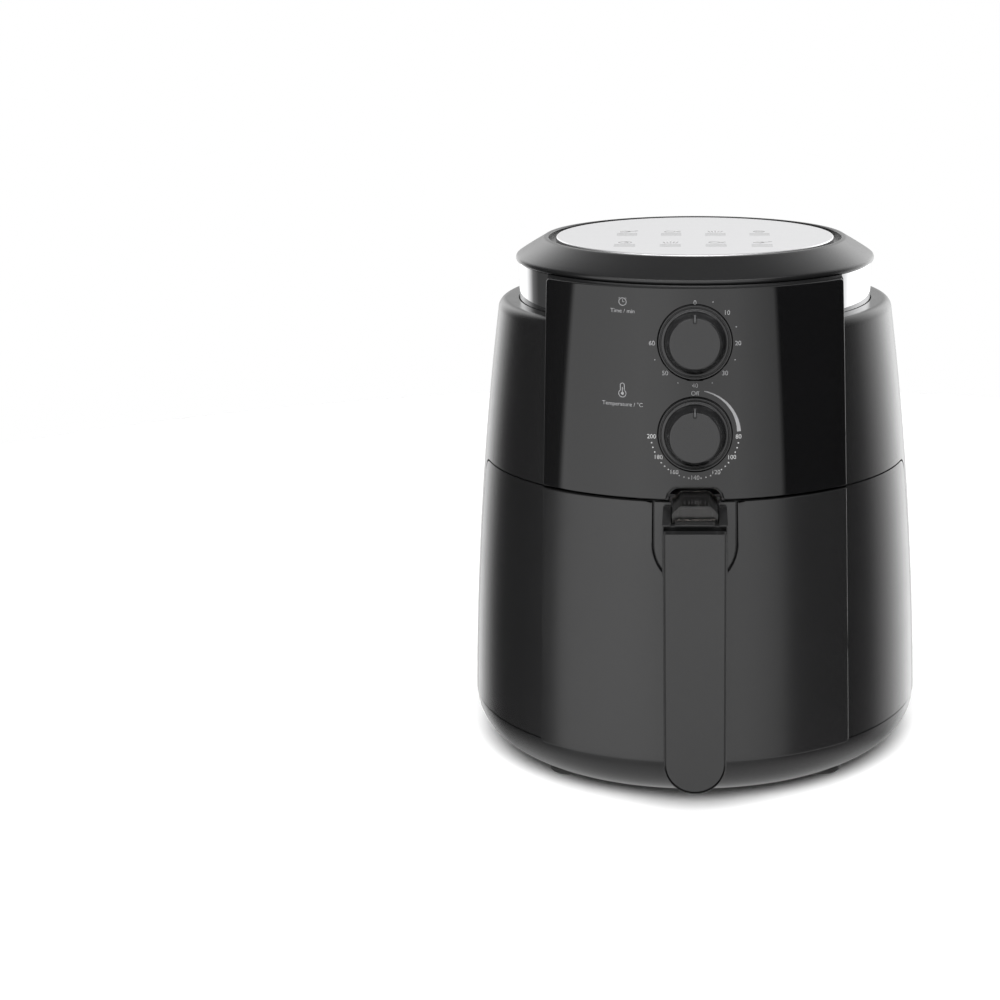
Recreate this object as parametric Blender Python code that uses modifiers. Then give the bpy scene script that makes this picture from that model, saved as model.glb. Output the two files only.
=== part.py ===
"""Air fryer: a round housing with a pull-out drawer, a hot-air chamber and two dials.

Lengths are in millimetres and the shape helpers turn them into metres. Every piece is
modelled about the body's vertical axis, with the front towards -Y and Z = 0 at the
undersides of the feet. One empty then carries the whole object, so that the origin lies
under the middle of its outline.
"""
import math

import bmesh
import bpy
from mathutils import Matrix, Vector

MM = 0.001
GAP = 0.3  # clearance between pieces that touch

# Outer form
HANDLE_FRONT = 175.0
GLAND_BACK = 142.0
AXIS_Y = (HANDLE_FRONT - GLAND_BACK) / 2
WALL = 2.5
ARC_RADIUS = 2119.0  # the side wall is one long, shallow arc
ARC_HEIGHT = -24.8
BODY_RADIUS = 135.8  # radius of the wall at the arc's own height
BIG_STEPS = 40
SMALL_STEPS = 24

# Heights of the main joints between pieces
FOOT_TOP = 3.7
BASE_FLOOR = 4.0
BASE_RIM = 29.7
SPLIT_Z = 178.0  # between the drawer and the housing
SHOULDER_Z = 270.2
LID_LIP_Z = 292.4
TOP_Z = 305.5

# Drawer front
SPLIT_Y = -26.0
SEAM = 0.9
PROUD = 2.5  # how far the centre strip stands out from the side wall
STRIP_TOP_HALF = 81.4
STRIP_BOTTOM_HALF = 88.6
STRIP_HEIGHT = 320.0

# Lid and neck
NECK_RADIUS = 103.5
NECK_WALL = 1.5
LID_RADIUS = 105.0
RIM_RADIUS = 88.8
GROOVE_OUTER = 85.8
PLATE_RADIUS = 81.4
PLATE_THICKNESS = 3.0

# Control panel and dials
PANEL_BOTTOM = 178.9
PANEL_TOP = 292.2
TIMER_Z = 263.8
TEMPERATURE_Z = 214.6
KNOB_RADIUS = 18.3
KNOB_FACE_RADIUS = 15.2
KNOB_HEIGHT = 17.0
BEZEL_RADIUS = 19.9
SHAFT_RADIUS = 3.0

# Cooking chamber and what slides into it
CHAMBER_HALF = 99.0
CHAMBER_FRONT = -68.0
CHAMBER_WALL = 1.5
CHAMBER_FLOOR = 30.0
CHAMBER_CEILING = 176.0
PAN_HALF = 90.5
PAN_FRONT = -100.0
PAN_BACK = 88.0
PAN_BOTTOM = 38.0
PAN_TOP = 172.0
PAN_RIM = 4.5
BASKET_HALF = 84.5
BASKET_FRONT = -93.0
BASKET_BACK = 80.0
BASKET_BOTTOM = 46.0
BASKET_TOP = 167.0
SHEET = 1.5

# Hot-air unit above the chamber
SHROUD_RADIUS = 90.0
SHROUD_BOTTOM = 177.8
SHROUD_TOP = 214.0
COIL_Z = 188.0
COIL_OUTER = 80.0
COIL_INNER = 66.0
COIL_WIRE = 3.2
FAN_RADIUS = 60.0
DUCT_HALF = 36.0
DUCT_LOW = 186.0
DUCT_HIGH = 210.0
BULB_X = 8.0
BULB_Z = 206.0
GLAND_Z = 50.0

# Handle
GRIP_HALF = 16.8
GRIP_BOTTOM = 27.0
GRIP_TOP = 173.0
GRIP_BACK = -160.0
GRIP_SPLIT = -168.0
BRIDGE_HALF = 17.3
BRIDGE_BOTTOM = 148.0
BRIDGE_TOP = 176.0
SHIELD_HALF = 22.2
SHIELD_BOTTOM = 133.0
GUARD_HALF = 12.3
GUARD_TOP = 184.2
BUTTON_HALF = 9.0
HANDLE_SCREW_HEIGHTS = (60.0, 120.0)

# Holes in the basket's floor, and where the feet and the base screws stand
HOLE_PITCH = 32.0
HOLE_RADIUS = 3.6
FOOT_RADIUS = 12.4
FOOT_PLACE = 73.5
SCREW_PLACE = 62.0

FINISHES = {  # colour, roughness, metallic
    "satin_black": ((0.030, 0.030, 0.031), 0.42, 0.0),
    "gloss_black": ((0.010, 0.010, 0.011), 0.08, 0.0),
    "dark_grey": ((0.055, 0.055, 0.056), 0.45, 0.0),
    "smoky_clear": ((0.080, 0.070, 0.065), 0.10, 0.0),
    "rubber": ((0.020, 0.020, 0.020), 0.80, 0.0),
    "polished_metal": ((0.780, 0.780, 0.790), 0.12, 1.0),
    "brushed_metal": ((0.740, 0.740, 0.750), 0.32, 1.0),
    "plain_steel": ((0.560, 0.560, 0.570), 0.40, 1.0),
    "coated_steel": ((0.035, 0.035, 0.037), 0.38, 0.3),
    "switch_plastic": ((0.640, 0.600, 0.500), 0.50, 0.0),
}


# Scene and shape helpers

def clear_scene():
    for thing in list(bpy.data.objects):
        bpy.data.objects.remove(thing, do_unlink=True)


def collection(name):
    group = bpy.data.collections.new(name)
    bpy.context.scene.collection.children.link(group)
    return group


def empty(name, place, turn_x=0.0, parent=None):
    """A bare axis frame; its own Z points where a turned piece's axis goes."""
    frame = bpy.data.objects.new(name, None)
    parts.objects.link(frame)
    frame.parent = parent
    frame.location = Vector(place) * MM
    frame.rotation_euler = (turn_x, 0, 0)
    return frame


def add_object(name, data, parent=None):
    thing = bpy.data.objects.new(name, data)
    parts.objects.link(thing)
    thing.parent = parent or root
    return thing


def mesh_from(name, shape):
    """Turn a bmesh into mesh data and free it."""
    mesh = bpy.data.meshes.new(name)
    shape.to_mesh(mesh)
    shape.free()
    return mesh


def turned(name, profile, closed=True, steps=BIG_STEPS, parent=None):
    """A turned piece from (radius, height) points that run down its outer side first.

    A closed profile makes a ring. An open one starts and ends on the axis.
    """
    points = [(r * MM, 0, z * MM) for r, z in profile]
    edges = [(i, i + 1) for i in range(len(points) - 1)]
    if closed:
        edges.append((len(points) - 1, 0))
    mesh = bpy.data.meshes.new(name)
    mesh.from_pydata(points, edges, [])
    piece = add_object(name, mesh, parent)
    screw = piece.modifiers.new("turn", "SCREW")
    screw.steps = steps
    screw.render_steps = steps
    screw.use_merge_vertices = True
    screw.merge_threshold = 0.00001
    screw.use_smooth_shade = True
    return piece


def box(name, low, high, radius=0.0, along="Z", segments=4, where=None, taper=(0, 0), parent=None):
    """A box between two corners, with the edges along one axis rounded.

    where picks the edges by their middle point, and taper narrows the foot in X and Y.
    """
    size = Vector(high) - Vector(low)
    centre = (Vector(high) + Vector(low)) / 2
    place = Matrix.Translation(centre * MM) @ Matrix.Diagonal((*(size * MM), 1))
    shape = bmesh.new()
    bmesh.ops.create_cube(shape, size=1, matrix=place)
    if radius:
        axis = "XYZ".index(along)
        edges = [
            edge for edge in shape.edges
            if abs(edge.verts[0].co[axis] - edge.verts[1].co[axis]) > size[axis] * MM / 2
            and (where is None or where((edge.verts[0].co + edge.verts[1].co) / 2 / MM))
        ]
        bmesh.ops.bevel(
            shape, geom=edges, offset=radius * MM, segments=segments, profile=0.5, affect="EDGES"
        )
    for vert in shape.verts:
        depth = (high[2] * MM - vert.co.z) / (size.z * MM)
        for k in (0, 1):
            vert.co[k] = centre[k] * MM + (vert.co[k] - centre[k] * MM) * (1 - taper[k] * depth)
    return add_object(name, mesh_from(name, shape), parent)


def cylinder(name, radius, low, high, place=(0, 0), steps=SMALL_STEPS, parent=None):
    """An upright cylinder between two heights."""
    shape = bmesh.new()
    middle = Vector((place[0], place[1], (low + high) / 2)) * MM
    bmesh.ops.create_cone(
        shape, cap_ends=True, segments=steps, radius1=radius * MM, radius2=radius * MM,
        depth=(high - low) * MM, matrix=Matrix.Translation(middle),
    )
    piece = add_object(name, mesh_from(name, shape), parent)
    piece.data.shade_smooth()
    piece.data.set_sharp_from_angle(angle=math.radians(40))
    return piece


def tube(name, points, radius, sizes=None, parent=None):
    """A round wire through the points; sizes scale its radius point by point."""
    curve = bpy.data.curves.new(name, "CURVE")
    curve.dimensions = "3D"
    curve.bevel_depth = radius * MM
    curve.bevel_resolution = 2
    curve.use_fill_caps = True
    spline = curve.splines.new("POLY")
    spline.points.add(len(points) - 1)
    for i, (knot, point) in enumerate(zip(spline.points, points)):
        knot.co = (*(Vector(point) * MM), 1)
        knot.radius = sizes[i] if sizes else 1.0
    return add_object(name, curve, parent)


def spread(piece, count, step):
    """Repeat a shape along a constant offset."""
    array = piece.modifiers.new("repeat", "ARRAY")
    array.count = count
    array.use_relative_offset = False
    array.use_constant_offset = True
    array.constant_offset_displace = Vector(step) * MM
    return piece


def combine(piece, tool, operation):
    """Boolean a piece with a tool shape, which is then left out of the object."""
    for group in list(tool.users_collection):
        group.objects.unlink(tool)
    cutters.objects.link(tool)
    tool.hide_render = True
    tool.display_type = "WIRE"
    change = piece.modifiers.new(operation.lower(), "BOOLEAN")
    change.operation = operation
    change.solver = "EXACT"
    change.object = tool
    return piece


def cut(piece, tool):
    return combine(piece, tool, "DIFFERENCE")


def keep(piece, tool):
    return combine(piece, tool, "INTERSECT")


def fuse(piece, tool):
    return combine(piece, tool, "UNION")


def finish(piece, kind):
    """Give the piece its own Principled material."""
    colour, roughness, metallic = FINISHES[kind]
    material = bpy.data.materials.new(piece.name)
    material.use_nodes = True
    shader = material.node_tree.nodes["Principled BSDF"]
    shader.inputs["Base Color"].default_value = (*colour, 1)
    shader.inputs["Roughness"].default_value = roughness
    shader.inputs["Metallic"].default_value = metallic
    if kind == "smoky_clear":
        shader.inputs["Alpha"].default_value = 0.45
    piece.data.materials.append(material)
    return piece


# The outline that many pieces share

def body_radius(z):
    """Radius of the side wall at a height."""
    return BODY_RADIUS - ARC_RADIUS + math.sqrt(ARC_RADIUS ** 2 - (z - ARC_HEIGHT) ** 2)


def wall_lean(z):
    """Angle between the wall and the vertical at a height."""
    return math.asin((z - ARC_HEIGHT) / ARC_RADIUS)


def wall_points(top, bottom, offset, count):
    """Points down the side wall, moved out by an offset."""
    heights = [top + (bottom - top) * i / count for i in range(count + 1)]
    return [(body_radius(z) + offset, z) for z in heights]


def wall_ring(top, bottom, outer, inner, count=5):
    """Closed profile of a shell that follows the side wall."""
    return wall_points(top, bottom, outer, count) + wall_points(bottom, top, inner, count)


def ring(outer, inner, top, bottom):
    """Closed profile of a plain ring."""
    return [(outer, top), (outer, bottom), (inner, bottom), (inner, top)]


def arc(centre, radius, start, end, count):
    """Points on a circle between two angles in degrees, in a profile's plane."""
    angles = [math.radians(start + (end - start) * i / count) for i in range(count + 1)]
    return [(centre[0] + radius * math.cos(a), centre[1] + radius * math.sin(a)) for a in angles]


def dial_axis(name, z):
    """Axis frame on the panel's surface: Z points out of it, Y up it."""
    return empty(name, (0, -body_radius(z) - PROUD, z), math.pi / 2 - wall_lean(z), root)


def centre_strip(name):
    """Prism with the outline of the proud strip, a little wider at its foot."""
    taper = 1 - STRIP_BOTTOM_HALF / STRIP_TOP_HALF
    low = (-STRIP_TOP_HALF, -200, 0)
    high = (STRIP_TOP_HALF, 0, STRIP_HEIGHT)
    return box(name, low, high, taper=(taper, 0))


def drawer_side(name, back, top):
    """Prism with the drawer's side outline: square to the front, rounded at the top back."""
    return box(name, (-200, -220, -20), (200, back, top), radius=10, along="X")


def shield_outline(name, half, bottom):
    """Prism with the outline of the handle's shield, from its round foot upwards."""
    low = (-half, -220, bottom)
    high = (half, -60, 200)
    return box(name, low, high, radius=half - 2.2, along="Y", segments=6, where=lambda p: p.z < 150)


# Housing

def make_outer_housing():
    corner = 6.0
    corner_z = SHOULDER_Z - corner
    corner_r = body_radius(corner_z) - corner
    outer = [(NECK_RADIUS + 0.5, SHOULDER_Z)]
    outer += arc((corner_r, corner_z), corner, 90, 0, 4)
    outer += wall_points(corner_z, BASE_RIM + 0.6, 0, 5)[1:]
    inner = wall_points(BASE_RIM + 0.6, corner_z, -WALL, 3)
    inner += [(corner_r, SHOULDER_Z - WALL), (NECK_RADIUS + 0.5, SHOULDER_Z - WALL)]
    housing = turned("outer_housing", outer + inner)
    cut(housing, drawer_side("drawer_opening", SPLIT_Y, SPLIT_Z + 0.3))
    cut(housing, timer_space("housing_timer_space"))
    cut(housing, box("vent_opening", (-38.5, 90, 184), (38.5, 150, 214), 4, "Y"))
    for axis in (timer_axis, temperature_axis):
        cut(housing, cylinder("shaft_hole", 5, -12, 2, steps=16, parent=axis))
    cut(housing, cylinder("gland_hole", 6.4, -12, 4, steps=16, parent=gland_axis))
    finish(housing, "satin_black")


def timer_space(name):
    """Room for the timer where the housing's shoulder and the neck would cross it."""
    return box(name, (-21, -111.5, 248), (21, -80, 300))


def make_control_pod():
    """Open-backed hood that carries the panel past the shoulder, up to the lid."""
    top = LID_LIP_Z - 0.8
    bottom = SHOULDER_Z + 0.4
    back = NECK_RADIUS + 0.5
    outer = wall_points(top, bottom, 0.2, 2) + [(back, bottom), (back, top)]
    pod = turned("control_pod", outer)
    keep(pod, box("pod_sides", (-82.0, -200, 200), (82.0, 0, 320)))
    hollow = wall_points(top - 2, bottom - 5, -1.8, 2) + [(back - 3, bottom - 5), (back - 3, top - 2)]
    inside = turned("pod_hollow", hollow)
    keep(inside, box("pod_hollow_sides", (-80.0, -200, 200), (80.0, 0, 320)))
    cut(pod, inside)
    finish(pod, "satin_black")


def make_control_panel():
    panel = turned("control_panel", wall_ring(PANEL_TOP, PANEL_BOTTOM, PROUD, 0.5, 4))
    keep(panel, centre_strip("panel_outline"))
    cut(panel, guard_notch())
    for axis in (timer_axis, temperature_axis):
        cut(panel, cylinder("bezel_hole", BEZEL_RADIUS + 0.3, -12, 4, steps=28, parent=axis))
    finish(panel, "gloss_black")


def guard_notch():
    """Arched notch in the panel's lower edge that clears the button's guard."""
    low = (-15.8, -140, 165)
    high = (15.8, -110, PANEL_BOTTOM + 6.9)
    return box("guard_notch", low, high, 8, "Y", 2, where=lambda p: p.z > PANEL_BOTTOM)


def make_bezels():
    """Shallow cup around each dial, set into the panel."""
    for name, axis in (("timer_bezel", timer_axis), ("temperature_bezel", temperature_axis)):
        rim = 1.0
        cup = [
            (BEZEL_RADIUS, 1.3), (BEZEL_RADIUS, -1.9), (4.2, -1.9), (4.2, -0.6),
            (BEZEL_RADIUS - rim, -0.6), (BEZEL_RADIUS - rim, 1.3),
        ]
        finish(turned(name, cup, steps=28, parent=axis), "dark_grey")


def make_neck_band():
    top = LID_LIP_Z - 0.5
    profile = ring(NECK_RADIUS, NECK_RADIUS - NECK_WALL, top, SHOULDER_Z - 4)
    band = turned("neck_band", profile)
    cut(band, timer_space("neck_timer_space"))
    finish(band, "polished_metal")


def make_lid():
    floor = TOP_Z - PLATE_THICKNESS - GAP
    outer = [
        (0, floor), (GROOVE_OUTER, floor), (GROOVE_OUTER, TOP_Z - 0.7), (GROOVE_OUTER + 0.7, TOP_Z),
        (RIM_RADIUS - 1.1, TOP_Z), (RIM_RADIUS, TOP_Z - 0.4), (LID_RADIUS - 1.1, LID_LIP_Z + 3.5),
        (LID_RADIUS, LID_LIP_Z + 2.5), (LID_RADIUS, LID_LIP_Z + 0.9), (LID_RADIUS - 0.9, LID_LIP_Z),
    ]
    under = [
        (NECK_RADIUS - NECK_WALL, LID_LIP_Z), (GROOVE_OUTER, floor - 1.2),
        (GROOVE_OUTER - 3, floor - WALL), (0, floor - WALL),
    ]
    finish(turned("lid_ring", outer + under, closed=False), "satin_black")
    low = TOP_Z - PLATE_THICKNESS
    plate = [
        (0, TOP_Z), (PLATE_RADIUS - 0.5, TOP_Z), (PLATE_RADIUS, TOP_Z - 0.5), (PLATE_RADIUS, low), (0, low),
    ]
    finish(turned("top_plate", plate, closed=False), "brushed_metal")


def corners(x, y):
    """The four corners of a rectangle about the body's axis, named by where they lie."""
    return {
        "front_left": (-x, -y), "front_right": (x, -y), "rear_left": (-x, y), "rear_right": (x, y),
    }


def make_base():
    bowl = 25.8
    rim_r = body_radius(BASE_RIM) - 0.3
    centre = (rim_r - bowl, BASE_RIM)
    floor_angle = -math.degrees(math.asin((BASE_RIM - BASE_FLOOR) / bowl))
    outer = arc(centre, bowl, 0, floor_angle, 5) + [(0, BASE_FLOOR)]
    inner = [(0, BASE_FLOOR + WALL)] + arc(centre, bowl - WALL, -84, 0, 3)
    tray = turned("base_tray", outer + inner + [outer[0]], closed=False)
    for place in corners(SCREW_PLACE, SCREW_PLACE).values():
        fuse(tray, cylinder("screw_boss", 6, BASE_FLOOR + 1, BASE_RIM - 0.2, place, 12))
        cut(tray, cylinder("screw_bore", 2.3, 0, 40, place, 8))
        cut(tray, cylinder("screw_recess", 4.3, 0, 9.4, place, 12))
    finish(tray, "satin_black")


def make_feet_and_screws():
    foot = [
        (0, FOOT_TOP), (FOOT_RADIUS - 0.7, FOOT_TOP), (FOOT_RADIUS, 3.0), (FOOT_RADIUS - 0.4, 0.5),
        (FOOT_RADIUS - 1.0, 0), (0, 0),
    ]
    for where, (x, y) in corners(FOOT_PLACE, FOOT_PLACE).items():
        corner = empty("foot_place_" + where, (x, y, 0), parent=root)
        finish(turned("foot_" + where, foot, False, 20, corner), "rubber")
    screw = [(0, 33), (1.8, 33), (1.8, 9.1), (3.8, 9.1), (3.8, 7.0), (3.0, 6.2), (0, 6.2)]
    for where, (x, y) in corners(SCREW_PLACE, SCREW_PLACE).items():
        corner = empty("screw_place_" + where, (x, y, 0), parent=root)
        finish(turned("base_screw_" + where, screw, False, 8, corner), "plain_steel")


def make_rear_grille():
    grille = turned("rear_grille", wall_ring(213.6, 184.4, 0.6, -2.3, 2))
    keep(grille, box("grille_outline", (-38.1, 60, 184.4), (38.1, 160, 213.6), 3.6, "Y"))
    slots = spread(box("grille_slots", (-33, 90, 187.2), (33, 160, 191.6)), 4, (0, 0, 6.4))
    finish(cut(grille, slots), "satin_black")


def make_cord_gland():
    """Bushing in the rear wall with a bore for the mains cord."""
    back = GLAND_BACK - body_radius(GLAND_Z)
    profile = [
        (5.6, back), (6.8, 3.2), (10, 2.4), (10, 0.6), (5.9, 0.6), (5.9, -6), (3.7, -6), (3.7, back),
    ]
    finish(turned("cord_gland", profile, steps=20, parent=gland_axis), "rubber")


# Chamber and hot-air unit

def make_inner_chamber():
    half = CHAMBER_HALF
    low = (-half, CHAMBER_FRONT - 60, CHAMBER_FLOOR)
    high = (half, half, CHAMBER_CEILING + CHAMBER_WALL)
    chamber = box("inner_chamber", low, high, 55, "Z", 5, where=lambda p: p.y > 0)
    inner = half - CHAMBER_WALL
    low = (-inner, CHAMBER_FRONT - 90, CHAMBER_FLOOR + CHAMBER_WALL)
    high = (inner, inner, CHAMBER_CEILING)
    cut(chamber, box("chamber_inside", low, high, 53.5, "Z", 5, where=lambda p: p.y > 0))
    cut(chamber, box("chamber_mouth", (-120, -200, 0), (120, CHAMBER_FRONT, 200)))
    cut(chamber, cylinder("heater_mouth", 86, 170, 185, steps=BIG_STEPS))
    for place in corners(SCREW_PLACE, SCREW_PLACE).values():
        cut(chamber, cylinder("floor_hole", 2.3, 20, 35, place, 8))
    finish(chamber, "plain_steel")


def make_guide_rails():
    for side, name in ((-1, "left_guide_rail"), (1, "right_guide_rail")):
        near, far = sorted((side * (PAN_HALF + 1.5), side * (CHAMBER_HALF - CHAMBER_WALL - GAP)))
        rail = box(name, (near, CHAMBER_FRONT + 2, 166), (far, 42, PAN_TOP - SHEET - 0.5), 1.2, "Y", 2)
        finish(rail, "plain_steel")


def make_ceiling_deck():
    """Ring that closes the housing above the drawer, around the shroud."""
    finish(turned("ceiling_deck", ring(122.8, SHROUD_RADIUS + 0.6, 180.5, 179.0)), "satin_black")


def make_heater_shroud():
    outer = [(8, SHROUD_TOP), (SHROUD_RADIUS, SHROUD_TOP), (SHROUD_RADIUS, SHROUD_BOTTOM)]
    inner = [
        (SHROUD_RADIUS - 1.2, SHROUD_BOTTOM), (SHROUD_RADIUS - 1.2, SHROUD_TOP - 1.2), (8, SHROUD_TOP - 1.2),
    ]
    shroud = turned("heater_shroud", outer + inner)
    cut(shroud, box("air_exit", (-DUCT_HALF + 3, 60, DUCT_LOW + 2), (DUCT_HALF - 3, 120, DUCT_HIGH - 2)))
    for radius in (COIL_OUTER, COIL_INNER):
        cut(shroud, cylinder("terminal_hole", COIL_WIRE + 1.3, 205, 225, polar(radius, 8), 12))
    cut(shroud, cylinder("sensor_hole", 2.2, -110, -80, (BULB_X, -BULB_Z), 10, parent=sensor_axis))
    finish(shroud, "plain_steel")


def polar(radius, degrees):
    """Point on a circle about the body's axis."""
    angle = math.radians(degrees)
    return (radius * math.cos(angle), radius * math.sin(angle))


def make_heating_element():
    """Tubular element folded into two rings, with both ends rising through the shroud."""
    around = [8 + 344 * i / 22 for i in range(23)]
    points = [(*polar(COIL_OUTER, 8), SHROUD_TOP + 9)]
    points += [(*polar(COIL_OUTER, a), COIL_Z) for a in around]
    middle = (COIL_OUTER + COIL_INNER) / 2
    bend = (COIL_OUTER - COIL_INNER) / 2
    for i in range(1, 4):
        swing = math.pi * i / 4
        reach = middle + bend * math.cos(swing)
        points.append((*polar(reach, 352 + math.degrees(bend * math.sin(swing) / middle)), COIL_Z))
    points += [(*polar(COIL_INNER, a), COIL_Z) for a in reversed(around)]
    points.append((*polar(COIL_INNER, 8), SHROUD_TOP + 9))
    finish(tube("heating_element", points, COIL_WIRE), "plain_steel")


def make_heater_clips():
    """Straps that hang from the shroud's top between the two rings and hold them up."""
    middle = (COIL_OUTER + COIL_INNER) / 2
    under = COIL_Z - COIL_WIRE - 0.6
    for name, angle in (("heater_clip_left", 120), ("heater_clip_right", 240)):
        place = empty(name + "_place", (0, 0, 0), parent=root)
        place.rotation_euler.z = math.radians(angle)
        clip = box(name, (middle - 0.8, -4, under - 1), (middle + 0.8, 4, SHROUD_TOP - 1.5), parent=place)
        foot = box(name + "_foot", (middle - 9, -3.5, under - 1.2), (middle + 9, 3.5, under), parent=place)
        finish(fuse(clip, foot), "plain_steel")


def make_heater_guard():
    """Spoked grid in the chamber's ceiling, under the element."""
    guard = turned("heater_guard", ring(88.3, 84, SHROUD_BOTTOM + 1.5, SHROUD_BOTTOM + 0.1))
    middle = (SHROUD_BOTTOM + 0.3, SHROUD_BOTTOM + 1.3)
    for k in range(4):
        turn = empty("spoke_turn", (0, 0, 0), parent=root)
        turn.rotation_euler.z = math.pi * k / 4
        fuse(guard, box("spoke", (-86, -1.5, middle[0]), (86, 1.5, middle[1]), parent=turn))
    fuse(guard, turned("guard_ring", ring(47, 43.5, middle[1] + 0.1, middle[0] - 0.1), steps=SMALL_STEPS))
    finish(guard, "plain_steel")


def make_air_duct():
    low, high = (-DUCT_HALF, 93, DUCT_LOW), (DUCT_HALF, 108, DUCT_HIGH)
    duct = box("air_duct", low, high, 3, "Y", 2)
    inside = box("duct_inside", (low[0] + 2, 80, low[2] + 2), (high[0] - 2, 120, high[2] - 2))
    finish(cut(duct, inside), "plain_steel")


def make_motor():
    plate = turned("motor_bracket", ring(50, 9, 223.5, 222), steps=SMALL_STEPS)
    for angle in (90, 210, 330):
        fuse(plate, cylinder("bracket_leg", 4, SHROUD_TOP + GAP, 222.8, polar(42, angle), 8))
    finish(plate, "plain_steel")
    motor = [
        (9, 255), (9, 252), (26, 252), (30, 249), (30, 227), (27, 223.8), (3.7, 223.8), (3.7, 255),
    ]
    finish(turned("fan_motor", motor, steps=SMALL_STEPS), "plain_steel")


def blades(name, count, inner, outer, low, high, thickness, lean=0.0):
    """Flat radial blades as separate bodies in one tool shape."""
    shape = bmesh.new()
    size = Matrix.Diagonal(((outer - inner) * MM, thickness * MM, (high - low) * MM, 1))
    middle = Matrix.Translation(Vector(((inner + outer) / 2, 0, (low + high) / 2)) * MM)
    for k in range(count):
        turn = Matrix.Rotation(2 * math.pi * k / count, 4, "Z")
        tilt = Matrix.Rotation(lean, 4, "X")
        bmesh.ops.create_cube(shape, size=1, matrix=turn @ middle @ tilt @ size)
    return add_object(name, mesh_from(name, shape), fan_axis)


def make_fans():
    bore = SHAFT_RADIUS + GAP
    shaft = [(0, 270), (SHAFT_RADIUS, 270), (SHAFT_RADIUS, 193), (0, 193)]
    finish(turned("fan_shaft", shaft, False, 16, fan_axis), "plain_steel")
    wheel = [(FAN_RADIUS, 210), (FAN_RADIUS, 208.8), (9, 208.8), (9, 199), (bore, 199), (bore, 210)]
    fan = turned("cooking_fan", wheel, steps=SMALL_STEPS, parent=fan_axis)
    fuse(fan, blades("cooking_blades", 8, 8, FAN_RADIUS - 3, 199.6, 209.2, 1.4))
    finish(fan, "plain_steel")
    hub = [(11, 267), (11, 258), (bore, 258), (bore, 267)]
    cooler = turned("cooling_fan", hub, steps=SMALL_STEPS, parent=fan_axis)
    fuse(cooler, blades("cooling_blades", 6, 9.5, 42, 261.4, 263.6, 14, math.radians(24)))
    finish(cooler, "switch_plastic")
    nut = ring(6.4, (SHAFT_RADIUS + GAP) / math.cos(math.pi / 6), 198.6, 194.4)
    finish(turned("fan_nut", nut, steps=6, parent=fan_axis), "plain_steel")


# Controls

def make_knob(name, axis):
    top = KNOB_HEIGHT
    base = 0.0
    profile = [
        (0, top - 0.5), (KNOB_FACE_RADIUS - 2, top - 0.5), (KNOB_FACE_RADIUS - 1.6, top),
        (KNOB_FACE_RADIUS - 0.7, top - 0.2), (KNOB_FACE_RADIUS, top - 1.3), (KNOB_RADIUS - 0.4, 3.2),
        (KNOB_RADIUS, 2.4), (KNOB_RADIUS, base), (SHAFT_RADIUS + 0.4, base),
        (SHAFT_RADIUS + 0.4, 11), (0, 11),
    ]
    knob = turned(name, profile, False, SMALL_STEPS, axis)
    cut(knob, box("pointer_groove", (-0.7, 5.5, top - 1.2), (0.7, 12.6, top + 2), parent=axis))
    finish(knob, "dark_grey")


def make_dial(knob, shaft, unit, axis, half, depth):
    """A knob, its shaft and the switch body behind the panel, all on one axis."""
    make_knob(knob, axis)
    rod = [(0, 10.6), (SHAFT_RADIUS, 10.6), (SHAFT_RADIUS, 4 - depth), (0, 4 - depth)]
    finish(turned(shaft, rod, False, 16, axis), "plain_steel")
    body = box(unit, (-half, -half, -depth), (half, half, -7.4), 2.5, "Z", 2, parent=axis)
    bore = cylinder(unit + "_bore", SHAFT_RADIUS + 0.5, 3.4 - depth, 5, steps=16, parent=axis)
    finish(cut(body, bore), "switch_plastic")


def make_timer_bell():
    place = empty("bell_place", (31, -76, 0), parent=root)
    bell = [(0, 264), (8, 263), (13, 259), (14, 254), (13, 254), (12, 258.6), (7.6, 262), (0, 263)]
    finish(turned("timer_bell", bell, False, 20, place), "plain_steel")


def make_sensing_bulb():
    """Capillary from the thermostat to a bulb inside the shroud, at its wall."""
    points = [(BULB_X, -97.2, BULB_Z), (BULB_X, -92, BULB_Z), (BULB_X, -87, BULB_Z)]
    sizes = [1.0, 1.0, 1.0]
    for i, degrees in enumerate((-82, -79, -76, -70, -64, -58)):
        points.append((*polar(83.5, degrees), BULB_Z))
        sizes.append(1.0 if i < 2 else 2.4)
    finish(tube("sensing_bulb", points, 1.0, sizes), "plain_steel")


def make_thermal_cutout():
    body = box("thermal_cutout", (-74, 12, SHROUD_TOP + GAP), (-50, 22, 221), 2, "X", 2)
    finish(body, "switch_plastic")


def make_interlock_switch():
    """Switch on the chamber's side wall that the drawer's arrival trips."""
    body = box("interlock_switch", (-113, -6, 140), (-CHAMBER_HALF - GAP, 16, 152), 1.5, "X", 2)
    fuse(body, box("switch_lever", (-108, -19, 145), (-104, 2, 146.2)))
    finish(body, "switch_plastic")


# Drawer

def make_drawer_front():
    """Curved front that wraps round both sides, with a deck around the pan."""
    top = SPLIT_Z - 0.5
    bottom = BASE_RIM + 0.7
    front = turned("drawer_front", wall_ring(top, bottom, 0, -WALL, 4))
    keep(front, drawer_side("drawer_outline", SPLIT_Y - SEAM, top))
    deck_top = PAN_TOP - SHEET - GAP
    deck = cylinder("drawer_deck", 125.6, deck_top - 2.6, deck_top, steps=BIG_STEPS)
    keep(deck, box("deck_front", (-200, -200, 100), (200, CHAMBER_FRONT - 4, 200)))
    low, high = (-PAN_HALF - 1, PAN_FRONT - 1, 150), (PAN_HALF + 1, PAN_BACK, 190)
    cut(deck, box("deck_mouth", low, high, 46.5, "Z", 5))
    fuse(front, deck)
    cut(front, box("strap_notch", (-16, -140, 158), (16, -112, 200)))
    finish(front, "satin_black")


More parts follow.
